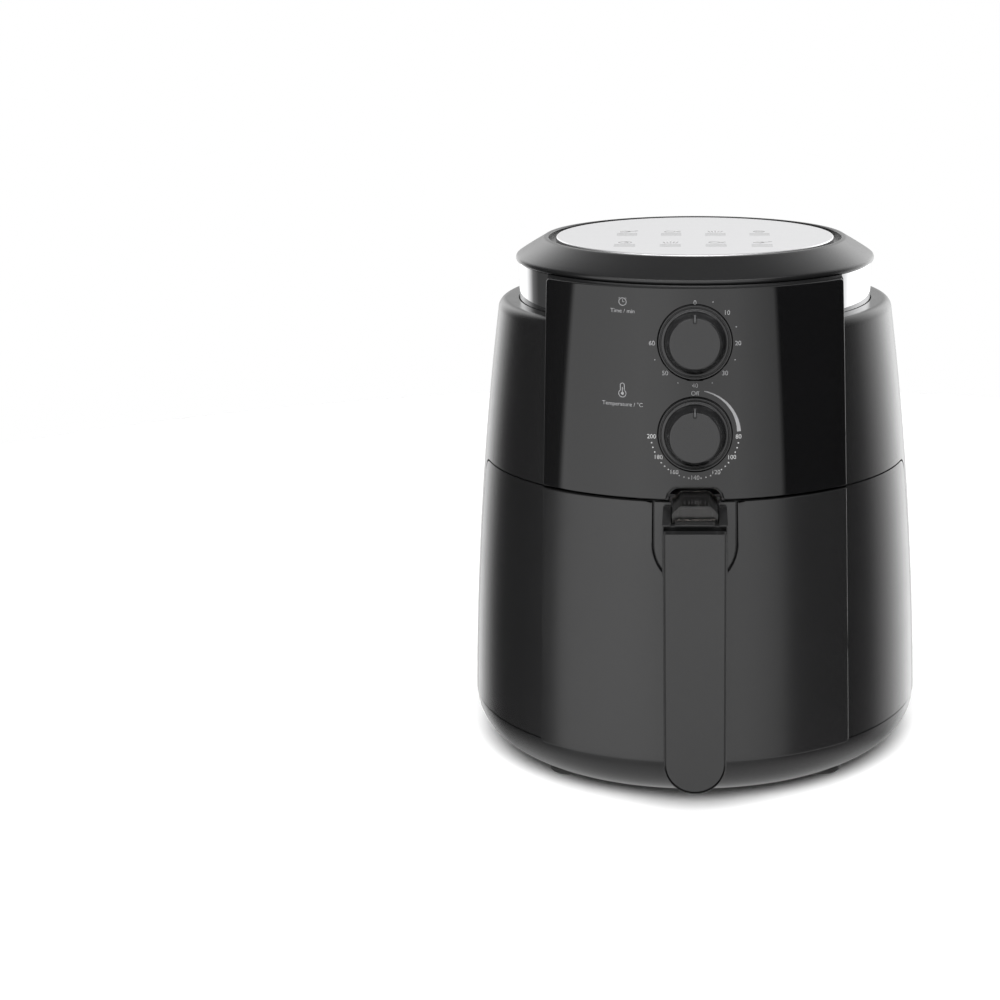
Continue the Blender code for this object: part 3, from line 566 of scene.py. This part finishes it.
def make_housing():
    corner, corner_z = 6.0, 264.2
    corner_r = radius_at(corner_z) - corner
    profile = [(104.0, 270.2)] + arc((corner_r, corner_z), corner, 90, 0, 12)
    profile += wall(corner_z, 30.3, 0, 24)[1:] + wall(30.3, corner_z, -WALL, 12)
    profile += [(corner_r, 267.7), (104.0, 267.7)]
    housing = turn_round("housing_shell", profile)
    combine(housing, side_tool(-26.0, SPLIT_Z + 0.3))
    combine(housing, block("timer_room", *TIMER_ROOM))
    combine(housing, block("vent", (-38.5, 90, 184), (38.5, 150, 214), 4, "Y"))
    low, high = (-14.6, -150, 170), (14.6, -120, 184.8)
    combine(housing, block("catch_slot", low, high, 6.5, "Y", lambda p: p.z > 180))
    for z in DIAL_HEIGHTS.values():
        combine(housing, rod("shaft_hole", 5, -12, 2, dial=z))
    soften(housing, 0.35)
    return fit(housing, "housing", "satin_black_plastic", "outer_housing")


def dial_height(node):
    low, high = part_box(node)
    return (low.z + high.z) / 2 / MM


DIAL_HEIGHTS = {name: dial_height(name + "_bezel") for name in ("timer", "temperature")}
make_housing()

# %% [markdown]
# ## Neck, lid and plate
# A polished band fills the gap between shoulder and lid. The lid flares out to a thin lip and
# holds a brushed plate in a shallow recess, with a dark groove around it.

# %% Neck band and lid
def make_neck():
    sheet = [(103.5, 291.9), (103.5, 266.2), (102, 266.2), (102, 291.9)]
    band = turn_round("neck_band_chrome", sheet)
    combine(band, block("timer_room", *TIMER_ROOM))
    soften(band, 0)
    return fit(band, "housing", "polished_band", "neck_band")


def make_lid():
    profile = [(0, 302.2), (85.8, 302.2), (85.8, 304.7)] + arc((86.6, 304.7), 0.8, 180, 90, 4)
    profile += [(87.6, 305.5), (88.4, 305.35), (89.0, 304.95)]
    profile += [(95.0, 301.45), (101.0, 297.75), (103.9, 295.8), (104.7, 295.1), (105.0, 294.4)]
    profile += [(105.0, 293.4), (104.8, 292.8), (104.2, 292.4), (102, 292.4)]
    profile += [(85.8, 301.0), (82.8, 299.7), (0, 299.7)]
    lid = turn_round("lid_flare", profile, False, 192)
    soften(lid, 0, angle=38, merge=0.01)
    return fit(lid, "housing", "satin_black_plastic", "lid_ring")


def make_plate():
    profile = [(0, 305.5), (60, 305.5), (80.6, 305.5)] + arc((80.6, 304.7), 0.8, 80, 0, 4)
    profile += [(81.4, 302.5), (0, 302.5)]
    plate = turn_round("lid_plate", profile, False, 192)
    soften(plate, 0, merge=0.01)
    return fit(plate, "housing", "brushed_plate", "top_plate")


make_neck()
make_lid()
make_plate()

# %% [markdown]
# ## Control panel
# The panel is a curved strip of gloss plastic that stands proud of the wall. It is turned as a
# ring and kept only inside a block with its outline; the round-topped notch below clears the
# button's guard. Behind its top a small hood carries it past the shoulder.

# %% Panel and hood
def strip_tool(low_z, high_z, radius=0.0, where=None):
    """Block with the outline of the proud centre strip, a little wider at its foot."""
    slope = (88.6 - 81.4) / 320
    top_half, foot_half = 81.4 + (320 - high_z) * slope, 81.4 + (320 - low_z) * slope
    low, high = (-top_half, -200, low_z), (top_half, 0, high_z)
    return block("strip_tool", low, high, radius, "Y", where, foot_half / top_half)


def make_panel():
    panel = turn_round("panel_gloss", shell(293.5, 178.9, PROUD, 0.5))
    combine(panel, strip_tool(170.0, 292.2, 1.8, lambda p: p.z > 280), "INTERSECT")
    low, high = (-15.8, -140, 165), (15.8, -110, 185.8)
    combine(panel, block("notch", low, high, 7.5, "Y", lambda p: p.z > 180, segments=3))
    for z in DIAL_HEIGHTS.values():
        combine(panel, rod("bezel_hole", 20.2, -12, 4, steps=96, dial=z))
    soften(panel, 0.6, 3, clamp=False)
    return fit(panel, "housing", "gloss_panel", "control_panel")


def make_hood():
    outer = wall(291.6, 270.6, 0.2, 4)
    outer += [(104.0, 270.6), (104.0, 292.25), (104.9, 292.25), (105.2, 291.6)]
    hood = turn_round("panel_hood", outer)
    combine(hood, block("sides", (-82.0, -200, 200), (82.0, 0, 320)), "INTERSECT")
    room = turn_round("hood_room", wall(289.6, 265.6, -1.8, 4) + [(101.0, 265.6), (101.0, 289.6)])
    combine(room, block("room_sides", (-80.0, -200, 200), (80.0, 0, 320)), "INTERSECT")
    combine(hood, room)
    soften(hood, 0.3)
    return fit(hood, "housing", "satin_black_plastic", "control_pod")


panel = make_panel()
make_hood()

# %% [markdown]
# ## Dials
# Each dial is a steep, slightly tapered cap with a flat face and a thin flange at its foot,
# and it sits in a shallow cup. The pointer is a painted line in a groove that runs over the
# edge and down the side. Both dials are the same moulding, so one function makes them at any
# height. It works upright at the origin and then tips the piece onto the panel.

# %% Dials
GROOVE = 0.95  # half the width of the pointer's groove


def dial_block(name, low, high, z, round_end=0.0):
    """A block in a dial's own axes: X across, Y up the panel, Z out."""
    lifted = [(a, b - AXIS_Y / MM, c) for a, b, c in (low, high)]
    piece = block(name, *lifted, round_end, "Z", lambda p: p.y < 12 - AXIS_Y / MM, segments=4)
    return on_dial(piece, z)


def make_cap(name, z, body, node):
    profile = [(0, 16.85), (8, 16.85), (13.0, 16.85), (13.4, 16.75), (13.8, 16.4), (14.0, 15.9)]
    profile += [(14.8, 11.6), (15.6, 7.4), (16.3, 3.9), (16.55, 3.1), (17.0, 2.75), (17.6, 2.65)]
    profile += [(18.0, 2.55), (18.3, 2.2), (18.3, 0), (3.4, 0), (3.4, 11), (0, 11)]
    cap = turn_round(name + "_cap", profile, False, 128, dial=z)
    combine(cap, dial_block("groove", (-GROOVE, 10.6, 15.5), (GROOVE, 19, 19), z, 0.9))
    combine(cap, dial_block("side_groove", (-GROOVE, 13.3, 9.0), (GROOVE, 19, 19), z))
    soften(cap, 0.12, 1)
    return fit(cap, body, "dark_grey_plastic", node, ink=CAP)


def make_pointer(name, z, body):
    side = [(11.3, 15.3), (11.3, 16.0), (13.4, 16.1), (13.8, 15.4)]
    side += [(15.0, 9.4), (14.2, 9.2), (13.0, 15.0)]
    outline = [Vector((-0.35 * MM, y * MM, h * MM)) for y, h in side]
    line = draw(name + "_pointer", outline, True, True)
    push_out(line, (0.7 * MM, 0, 0))
    on_dial(line, z)
    soften(line, 0.08, 1)
    return fit(line, body, "dark_grey_plastic", ink=POINTER)


# %% [markdown]
# The cup is one turned profile with a thin raised lip, and the dial's flange turns inside it.

# %% Cups, and both dials in them
def make_cup(name, z, node):
    cup = [(19.9, 0.9), (19.9, -1.9), (4.2, -1.9), (4.2, -0.6)]
    cup += [(18.9, -0.6), (18.9, 1.0), (19.1, 1.3), (19.6, 1.3)]
    ring = turn_round(name + "_cup", cup, steps=128, dial=z)
    soften(ring, 0, merge=0.01)
    return fit(ring, "housing", "dark_grey_plastic", node)


for name, z in DIAL_HEIGHTS.items():
    make_cup(name, z, name + "_bezel")
    make_cap(name, z, name + "_dial", name + "_knob")
    make_pointer(name, z, name + "_dial")

# %% [markdown]
# ## Base, feet and rear fittings
# The base is a bowl that tucks in under the housing, so the appliance seems to hover on its
# rubber feet. The vent at the back gets its slotted grille and the cord hole its bushing.

# %% Base and feet
def make_base():
    rim, bowl = 29.7, 25.8
    centre = (radius_at(rim) - 0.3 - bowl, rim)
    outer = arc(centre, bowl, 0, -84.9, 20) + [(0, 4.0)]
    inner = [(0, 6.5)] + arc(centre, bowl - WALL, -84, 0, 12)
    tray = turn_round("base_bowl", outer + inner + outer[:1], False)
    for x in (-62, 62):
        for y in (-62, 62):
            combine(tray, rod("boss", 6, 5, 29.5, (x, y), 32), "UNION")
            combine(tray, rod("bore", 2.3, 0, 40, (x, y), 16))
            combine(tray, rod("recess", 4.3, 0, 9.4, (x, y), 32))
    soften(tray, 0.3)
    return fit(tray, "housing", "satin_black_plastic", "base_tray")


def make_foot(name, x, y):
    pad = [(0, 3.7), (11.7, 3.7), (12.2, 3.4), (12.4, 3.0), (12.3, 1.4), (12.0, 0.5)]
    pad += [(11.6, 0.1), (11.2, 0), (7.4, 0), (7.2, 0.4), (6.4, 0.4), (6.2, 0)]
    pad += [(4.2, 0), (4.0, 0.4), (3.2, 0.4), (3.0, 0), (0, 0)]
    foot = turn_round("pad_" + name, pad, False, 64, (x, y))
    soften(foot, 0, merge=0.01)
    return fit(foot, "housing", "rubber", "foot_" + name)


make_base()
for name in ("front_left", "front_right", "rear_left", "rear_right"):
    low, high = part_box("foot_" + name)
    make_foot(name, (low.x + high.x) / 2 / MM, ((low.y + high.y) / 2 - AXIS_Y) / MM)


# %% [markdown]
# The grille is a strip of the wall itself with round-ended slots. The bushing's profile is
# turned on the front wall like a dial's and then carried to the back by one matrix.

# %% Grille and bushing
SLOTS, SLOT_PITCH = 4, 6.4


def make_grille():
    grille = turn_round("vent_grille", shell(214, 184, 0.6, -2.3, 6))
    combine(grille, block("outline", (-38.1, 60, 184.4), (38.1, 160, 213.6), 3.6, "Y"), "INTERSECT")
    for i in range(SLOTS):
        low = 187.2 + SLOT_PITCH * i
        combine(grille, block("slot", (-33, 90, low), (33, 160, low + 4.4), 2.1, "Y", segments=4))
    soften(grille, 0.25)
    return fit(grille, "housing", "satin_black_plastic", "rear_grille")


def turn_to_back(z):
    """Half a turn that takes a piece made on the front wall to the same place at the back."""
    front = Matrix.Translation(-at(0, -radius_at(z) - PROUD, z))
    rear = Matrix.Translation(at(0, radius_at(z), z))
    untilt = Matrix.Rotation(-(math.pi / 2 - lean_at(z)), 4, "X")
    return rear @ Matrix.Rotation(-math.pi / 2, 4, "X") @ untilt @ front


def make_bushing():
    height = 50
    reach = 142.0 - radius_at(height)
    profile = [(5.6, reach), (6.0, 4.6), (6.8, 3.2), (9.4, 2.6), (10, 2.0), (10, 0.6)]
    profile += [(5.9, 0.6), (5.9, -6), (3.7, -6), (3.7, reach)]
    bushing = turn_round("cord_bushing", profile, steps=64, dial=height)
    take(bushing)
    bushing.data.transform(turn_to_back(height))
    soften(bushing, 0.3)
    return fit(bushing, "housing", "rubber", "cord_gland")


make_grille()
make_bushing()

# %% [markdown]
# ## Drawer
# The drawer's front is part of the round wall. It wraps round both sides and ends in a rounded
# corner, so the seam between drawer and housing draws one clean line.

# %% Drawer shell
DRAWER_TOP = SPLIT_Z - 0.5


def make_drawer():
    drawer = turn_round("drawer_shell", shell(DRAWER_TOP, 30.4, 0, -WALL, 20))
    combine(drawer, side_tool(-26.9, DRAWER_TOP), "INTERSECT")
    deck = rod("deck", 125.6, 167.6, 170.2, steps=128)
    combine(deck, block("deck_front", (-200, -200, 100), (200, -72, 200)), "INTERSECT")
    combine(deck, block("deck_mouth", (-91.5, -101, 150), (91.5, 88, 190), 46.5, "Z", segments=16))
    combine(drawer, deck, "UNION")
    combine(drawer, block("strap_notch", (-16, -140, 158), (16, -112, 200)))
    soften(drawer, 0.35)
    return fit(drawer, "drawer", "satin_black_plastic", "drawer_front")


# %% [markdown]
# The proud strip carries the panel's line down the drawer. A tongue-shaped opening is cut in
# it for the shield of the handle, and the same outline, a little smaller, makes the shield.

# %% Drawer strip
def shield_tool(half, bottom):
    low, high = (-half, -220, bottom), (half, -60, 200)
    return block("shield", low, high, half - 2.2, "Y", lambda p: p.z < 150)


def make_strip():
    strip = turn_round("drawer_strip", shell(DRAWER_TOP, 26.0, PROUD, 0.4, 20))
    combine(strip, strip_tool(29.4, 190.0, 1.8, lambda p: p.z < 60), "INTERSECT")
    combine(strip, shield_tool(23.3, 131.9))
    soften(strip, 0.6, 3, clamp=False)
    return fit(strip, "drawer", "dark_grey_plastic", "drawer_fascia")


make_drawer()
make_strip()

# %% [markdown]
# ## Handle
# The handle is two mouldings: the rear one with the shield that sits in the strip and the
# bridge that reaches forward, and a flat cover with a half-round foot that closes it. Both use
# one outline of the grip, and its inset makes the groove that runs round the cover's face.

# %% Outlines of the grip
def grip(name, front, back, inset=0.0, top=173.0):
    half = 16.8 - inset
    low, high = (-half, front, 27.0 + inset), (half, back, top)
    return block(name, low, high, half - 0.05, "Y", lambda p: p.z < 100, segments=24)


def back_hole(radius, near, far, z):
    bpy.ops.object.select_all(action="DESELECT")
    bpy.ops.mesh.primitive_cylinder_add(
        vertices=32, radius=radius * MM, depth=(far - near) * MM,
        location=at(0, (near + far) / 2, z), rotation=(math.pi / 2, 0, 0),
    )
    return bpy.context.object


# %% [markdown]
# The rear moulding starts as a piece of the strip's wall. The bridge and the back of the grip
# are fused on. Then the button's pocket, the guard's two tracks and the screw holes are cut
# out, and a shallow step in the bridge's top, which leaves a dark line behind the cover.

# %% Handle
def make_moulding():
    moulding = turn_round("handle_moulding", shell(177.4, 120, PROUD, 0.6, 8))
    combine(moulding, shield_tool(22.2, 133.0), "INTERSECT")
    combine(moulding, block("bridge", (-17.3, -168.0, 148), (17.3, -129.6, 176)), "UNION")
    combine(moulding, grip("grip_rear", -168.0, -160.0, 0.4), "UNION")
    combine(moulding, block("pocket", (-9.6, -152.6, 156), (9.6, -132.4, 190)))
    for side in (-1, 1):
        near, far = sorted((side * 10.7, side * 12.7))
        combine(moulding, block("track", (near, -180, 174.4), (far, -120, 190)))
    combine(moulding, block("shadow_gap", (-16.4, -170, 170.5), (16.4, -164.5, 175.2)))
    for z in (60, 120):
        combine(moulding, back_hole(3.9, -162.2, -150, z))
    soften(moulding, 0.5, 3)
    return fit(moulding, "drawer", "dark_grey_plastic", "handle_body")


def make_face():
    face = grip("handle_face", -175.0, -168.3)
    soften(face, 0.45, 3)
    groove = grip("groove", -177.0, -170.0, 0.5, 180.0)
    combine(groove, grip("plate", -178.0, -169.0, 1.35, 181.0))
    combine(face, groove)
    soften(face, 0)
    return fit(face, "drawer", "dark_grey_plastic", "handle_cover")


make_moulding()
make_face()

# %% [markdown]
# ## Release button under its clear guard
# The button has ribs for the thumb and a blind hole below that takes the spring. A clear cap
# slides over it so that it can't be pressed by accident; being clear plastic, it bends the
# light a little and shows its wall at the edges.

# %% Release button
RIB_GAPS, RIB_PITCH = 8, 2.1


def make_button():
    low, high = (-9, -152, 166), (9, -133, 180.4)
    button = block("button_cap", low, high, 1.5, "Y", lambda p: p.z > 170, segments=6)
    for i in range(RIB_GAPS):
        y = -150.6 + RIB_PITCH * i
        combine(button, block("rib_gap", (-6.2, y, 179.4), (6.2, y + 1.0, 182)))
    combine(button, rod("spring_seat", 5.4, 160, 171, (0, -142.5)))
    soften(button, 0.2)
    return fit(button, "release_button", "dark_grey_plastic", "release_button", ink=GRIP)


# %% [markdown]
# The guard is drawn as an arched outline and pushed back. The same outline, drawn a little
# smaller, makes the hollow, so that the clear wall has much the same thickness all over.

# %% Clear guard
def guard_form(name, inset, front, back, bottom):
    """The guard's arched outline, pushed back into a solid; inset makes its hollow."""
    half, shoulder, top = 12.3 - inset, 7.0 - inset * 0.6, 184.2 - inset
    corners = [(-half, bottom), (-half, top - 4.4), (-half + 1.0, top - 3.2)]
    corners += [(-shoulder - 1.5, top - 0.5), (-shoulder, top)]
    corners += [(-x, z) for x, z in reversed(corners)]
    form = draw(name, [at(x, front, z) for x, z in corners], True, True)
    return push_out(form, (0, (back - front) * MM, 0))


def make_guard():
    guard = guard_form("button_window", 0, -160, -128.2, 174.8)
    combine(guard, guard_form("hollow", 1.3, -158.7, -100, 160))
    combine(guard, block("front_foot", (-11, -170, 160), (11, -150, 176.4)))
    soften(guard, 0.35, 2)
    return fit(guard, "button_guard", "clear_plastic", "button_guard")


make_button()
make_guard()

# %% [markdown]
# ## Pan, basket and strap
# Both are drawn from sheet: tapered sides, big corner radii and a flat rim. The basket's floor
# is pierced so that hot air and fat can pass.

# %% Tubs from sheet
SHEET, DRAFT = 1.5, 0.955  # thickness in mm, and how much narrower a tub is at its floor


def tub(name, half, front, back, bottom, top, rim, corner):
    low, high = (-half, front, bottom), (half, back, top)
    pan = block(name, low, high, corner, foot=DRAFT, segments=14)
    low, high = (-half - rim, front - rim, top - SHEET), (half + rim, back + rim, top)
    combine(pan, block("rim", low, high, corner + rim, segments=14), "UNION")
    low = (-half + SHEET, front + SHEET, bottom + SHEET)
    high = (half - SHEET, back - SHEET, top + 8)
    return combine(pan, block("room", low, high, corner - SHEET, foot=DRAFT, segments=14))


def make_pan():
    pan = tub("fat_pan", 90.5, -100.0, 88.0, 38.0, 172.0, 4.5, 46)
    soften(pan, 0.4)
    return fit(pan, "drawer", "coated_steel", "pan")


# %% [markdown]
# One pin is copied by two Array modifiers into a square field of pins. A single cut then
# pierces the whole floor, which is much quicker than one cut for each hole.

# %% Basket with its pierced floor
HOLES, HOLE_PITCH = 9, 14.0  # holes in a row, and how far apart


def make_basket():
    basket = tub("fry_basket", 84.5, -93.0, 80.0, 46.0, 167.0, 3.0, 41)
    first = -(HOLES // 2) * HOLE_PITCH
    holes = rod("floor_holes", 3.2, 40, 52, (first, -6.5 + first), 12)
    take(holes)
    for axis in (0, 1):
        repeat = holes.modifiers.new("repeat", "ARRAY")
        repeat.count = HOLES
        repeat.use_relative_offset = False
        repeat.use_constant_offset = True
        repeat.constant_offset_displace = [HOLE_PITCH * MM * (k == axis) for k in range(3)]
        bpy.ops.object.modifier_apply(modifier=repeat.name)
    combine(basket, holes)
    combine(basket, block("strap_gap", (-15, -100, 160), (15, -93.4, 170)))
    soften(basket, 0.25, merge=0.01)
    return fit(basket, "drawer", "coated_steel", "basket")


make_pan()
make_basket()

# %% [markdown]
# ## Printed scales
# The scales are printed on the panel. Text and small flat shapes are laid out in front of it,
# made one mesh, thrown onto its curve with Shrinkwrap and given the thickness of the ink.
# Numbers and words are text objects that are converted to meshes; dots are filled circles.

# %% Words and dots
LAYOUT_Y = -150.0  # the sheet in front of the panel on which marks are laid out
TEXT_UNIT = 0.72  # height of a capital in a text of size 1


def text_mark(text, x, z, height):
    bpy.ops.object.text_add(location=at(x, LAYOUT_Y, z), rotation=(math.pi / 2, 0, 0))
    word = bpy.context.object
    word.data.body = text
    word.data.size = height / TEXT_UNIT * MM
    word.data.align_x, word.data.align_y = "CENTER", "CENTER"
    word.data.resolution_u = 4
    take(word)
    bpy.ops.object.convert(target="MESH")
    return bpy.context.object


def disc_mark(x, z, radius):
    bpy.ops.object.select_all(action="DESELECT")
    bpy.ops.mesh.primitive_circle_add(
        vertices=16, radius=radius * MM, fill_type="NGON",
        location=at(x, LAYOUT_Y, z), rotation=(math.pi / 2, 0, 0),
    )
    return bpy.context.object


# %% [markdown]
# Rings and bars are strokes. A ring's outer line is drawn and extruded in place, and each new
# vertex then moves to its partner on the inner line, so a stroke can also widen as it runs.

# %% Strokes
def ring_mark(x, z, radius, stroke, start=0.0, end=360.0, end_stroke=None, steps=48):
    """A ring, or a stretch of one that may widen; angles run clockwise from the top."""
    outline, inline = [], []
    for i in range(steps + 1):
        part = i / steps
        angle = math.radians(start + (end - start) * part)
        half = (stroke + ((end_stroke or stroke) - stroke) * part) / 2
        for side, line in ((half, outline), (-half, inline)):
            reach = radius + side
            line.append(at(x + reach * math.sin(angle), LAYOUT_Y, z + reach * math.cos(angle)))
    strip = draw("stroke", outline, False)
    edit(strip, "SELECT")
    bpy.ops.mesh.extrude_region_move(TRANSFORM_OT_translate={"value": (0, 0, 0)})
    mesh = bmesh.from_edit_mesh(strip.data)
    for vert in [v for v in mesh.verts if v.select]:
        nearest = min(range(len(outline)), key=lambda k: (outline[k] - vert.co).length)
        vert.co = inline[nearest]
    bmesh.update_edit_mesh(strip.data)
    leave()
    return strip


def bar_mark(start, end, width):
    (x0, z0), (x1, z1) = start, end
    length = math.hypot(x1 - x0, z1 - z0)
    nx, nz = -(z1 - z0) / length * width / 2, (x1 - x0) / length * width / 2
    corners = [(x0 + nx, z0 + nz), (x1 + nx, z1 + nz), (x1 - nx, z1 - nz), (x0 - nx, z0 - nz)]
    return draw("bar", [at(x, LAYOUT_Y, z) for x, z in corners], True, True)


def polar_mark(angle, radius, z):
    """A place round a dial, as the leaning panel shows it from straight in front."""
    a = math.radians(angle)
    return radius * math.sin(a), z + radius * math.cos(a) * math.cos(lean_at(z))


# %% [markdown]
# Shrinkwrap throws the joined marks straight back along Y until they meet the panel. Solidify
# then gives them a twenty-fifth of a millimetre, about what a thick print has.

# %% Printing
INK_DEPTH, INK_GAP = 0.04, 0.05


def join_marks(name, marks):
    take(marks[0])
    for mark in marks:
        mark.select_set(True)
    bpy.ops.object.join()
    sheet = bpy.context.object
    sheet.name = name
    bpy.ops.object.transform_apply(location=True, rotation=True, scale=True)
    return sheet


def ink_layer(sheet, finish, ink):
    """Give flat marks the thickness of a layer of ink."""
    face_outwards(sheet)
    layer = sheet.modifiers.new("ink", "SOLIDIFY")
    layer.thickness = INK_DEPTH * MM
    layer.offset = 0
    bpy.ops.object.modifier_apply(modifier=layer.name)
    face_outwards(sheet)
    return fit(sheet, "housing", finish, ink=ink)


def print_on(name, marks, target, ink):
    """Project flat marks onto the panel and print them there."""
    sheet = join_marks(name, marks)
    wrap = sheet.modifiers.new("wrap", "SHRINKWRAP")
    wrap.target = target
    wrap.wrap_method = "PROJECT"
    wrap.use_project_y = True
    wrap.use_negative_direction = False
    wrap.use_positive_direction = True
    bpy.ops.object.modifier_apply(modifier=wrap.name)
    sheet.data.transform(Matrix.Translation((0, -INK_GAP * MM, 0)))
    return ink_layer(sheet, "gloss_panel", ink)


# %% [markdown]
# There are two inks. The temperature numbers are the brighter one. The minutes, the word Off,
# the widening arc and the two symbols are fainter. Numbers and dots go round on each dial's
# own circle; the top of the minutes sits a little closer in.

# %% Numbers and dots round the dials
timer_z, heat_z = DIAL_HEIGHTS["timer"], DIAL_HEIGHTS["temperature"]
faint_marks, bright_marks = [], []
for i, angle in enumerate((0, 47.5, 92, 136, 180, 224, 268)):
    radius = 21.2 if i == 0 else 23.2
    faint_marks.append(text_mark(str(10 * i), *polar_mark(angle, radius, timer_z), 2.5))
for angle in (24, 70, 114, 157, 203, 246):
    faint_marks.append(disc_mark(*polar_mark(angle, 23.6, timer_z), 0.32))
FIRST_ANGLE, ANGLE_STEP = 94.0, 28.7
for i in range(7):
    place = polar_mark(FIRST_ANGLE + ANGLE_STEP * i, 23.6, heat_z)
    bright_marks.append(text_mark(str(80 + 20 * i), *place, 2.4))
    for part in (0.28, 0.5, 0.72):
        if i < 6:
            place = polar_mark(FIRST_ANGLE + ANGLE_STEP * (i + part), 24.0, heat_z)
            bright_marks.append(disc_mark(*place, 0.4))
faint_marks.append(text_mark("Off", *polar_mark(0, 22.2, heat_z), 2.4))
faint_marks.append(ring_mark(0, heat_z, 23.8, 0.4, 12, 87, 2.1))
print("marks round the dials:", len(faint_marks) + len(bright_marks))

# %% [markdown]
# A small alarm clock and a small thermometer stand left of the dials, each over its words.
# A helper measures every stroke from the symbol's own middle.

# %% Symbols and words
CLOCK, BULB = (-39.0, 284.3), (-39.3, 235.4)


def beside(middle, x, z):
    return middle[0] + x, middle[1] + z


faint_marks += [ring_mark(*CLOCK, 2.0, 0.35), bar_mark(CLOCK, beside(CLOCK, 0, 1.3), 0.3)]
faint_marks.append(bar_mark(CLOCK, beside(CLOCK, 0.9, 0), 0.3))
faint_marks.append(ring_mark(*BULB, 2.0, 0.35, 38, 322))
for side in (-1, 1):
    bell = beside(CLOCK, side * 1.6, 2.2), beside(CLOCK, side * 2.1, 1.7)
    faint_marks.append(bar_mark(*bell, 0.25))
    stem = beside(BULB, side * 1.1, 1.6), beside(BULB, side * 1.1, 4.4)
    faint_marks.append(bar_mark(*stem, 0.35))
faint_marks.append(ring_mark(*beside(BULB, 0, 4.4), 1.1, 0.35, -90, 90))
faint_marks += [disc_mark(*BULB, 0.8), bar_mark(BULB, beside(BULB, 0, 3.4), 0.4)]
faint_marks.append(text_mark("Time / min", *beside(CLOCK, 0, -4.9), 2.2))
faint_marks.append(text_mark("Temperature / °C", *beside(BULB, 0, -5.8), 2.2))
print_on("timer_print", faint_marks, panel, FAINT)
print_on("heat_print", bright_marks, panel, PRINT)

# %% [markdown]
# ## Cooking guide on the lid
# The plate carries a faint guide: eight plain pictograms of food over a few short bars each.
# They are laid out like the panel's marks, tipped flat and given the same thin layer of ink.

# %% Pictograms
def drumstick(x, y):
    meat = disc_mark(x - 1.5, y, 3.2)
    bone = bar_mark((x, y), (x + 5.0, y + 2.6), 1.3)
    return [meat, bone, disc_mark(x + 5.2, y + 2.8, 1.1)]


def fish(x, y):
    body = ring_mark(x - 1, y, 3.0, 0.8)
    tail = [bar_mark((x + 2.4, y), (x + 5.4, y + side * 2.6), 0.9) for side in (1, -1)]
    return [body] + tail


def chips(x, y):
    return [
        bar_mark((x + 1.5 * k, y - 3), (x + 2.1 * k, y + 4 - abs(k)), 0.9) for k in range(-2, 3)
    ]


def cake(x, y):
    rim = bar_mark((x - 3.4, y + 0.5), (x + 3.4, y + 0.5), 1.0)
    base = bar_mark((x - 2.6, y - 3), (x + 2.6, y - 3), 1.0)
    return [rim, base, ring_mark(x, y + 0.5, 3.2, 0.8, -90, 90)]


def steak(x, y):
    return [ring_mark(x, y, 3.6, 0.9), disc_mark(x + 0.8, y + 0.6, 1.2)]


# %% [markdown]
# Two rows of four pictograms fill the middle of the plate. One turn about X tips the whole
# sheet from upright to flat, a hair above the metal.

# %% Guide on the plate
ROWS = {14.0: (drumstick, fish, chips, cake), -32.0: (steak, chips, fish, drumstick)}
guide = []
for depth, icons in ROWS.items():
    for column, draw_icon in enumerate(icons):
        x = -40.0 + 26.0 * column
        guide += draw_icon(x, depth)
        for k in range(3):
            line = depth - 8 - 4 * k
            guide.append(bar_mark((x - 6, line), (x + 6, line), 0.7))
sheet = join_marks("plate_guide", guide)
tip_flat = Matrix.Rotation(-math.pi / 2, 4, "X")
above_plate = Matrix.Translation(at(0, 0, 305.55))
sheet.data.transform(above_plate @ tip_flat @ Matrix.Translation(-at(0, LAYOUT_Y, 0)))
ink_layer(sheet, "brushed_plate", PLATE_INK)

# %% [markdown]
# ## Metal and hidden works
# The parts inside keep their measured meshes. They only need the finish of their material:
# galvanised steel that is a little uneven, ivory nylon, and black plastic for the deck.

# %% Finishes for the measured parts
INNER = {
    "sheet_steel": [
        "basket_strap", "pan_bracket", "button_spring", "handle_screw_lower",
        "handle_screw_upper", "inner_chamber", "left_guide_rail", "right_guide_rail",
        "heater_shroud", "heating_element", "heater_clip_left", "heater_clip_right",
        "heater_guard", "air_duct", "motor_bracket", "fan_motor", "fan_shaft", "cooking_fan",
        "fan_nut", "timer_bell", "sensing_bulb", "timer_shaft", "thermostat_shaft",
        "base_screw_front_left", "base_screw_front_right", "base_screw_rear_left",
        "base_screw_rear_right",
    ],
    "satin_black_plastic": ["ceiling_deck"],
    "switch_plastic": [
        "cooling_fan", "timer_unit", "thermostat_unit", "thermal_cutout", "interlock_switch"
    ],
}
for finish, names in INNER.items():
    for name in names:
        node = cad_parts[name]
        node.data.materials.clear()
        node.data.materials.append(FINISH[finish])
print("measured parts with a finish:", sum(len(names) for names in INNER.values()))
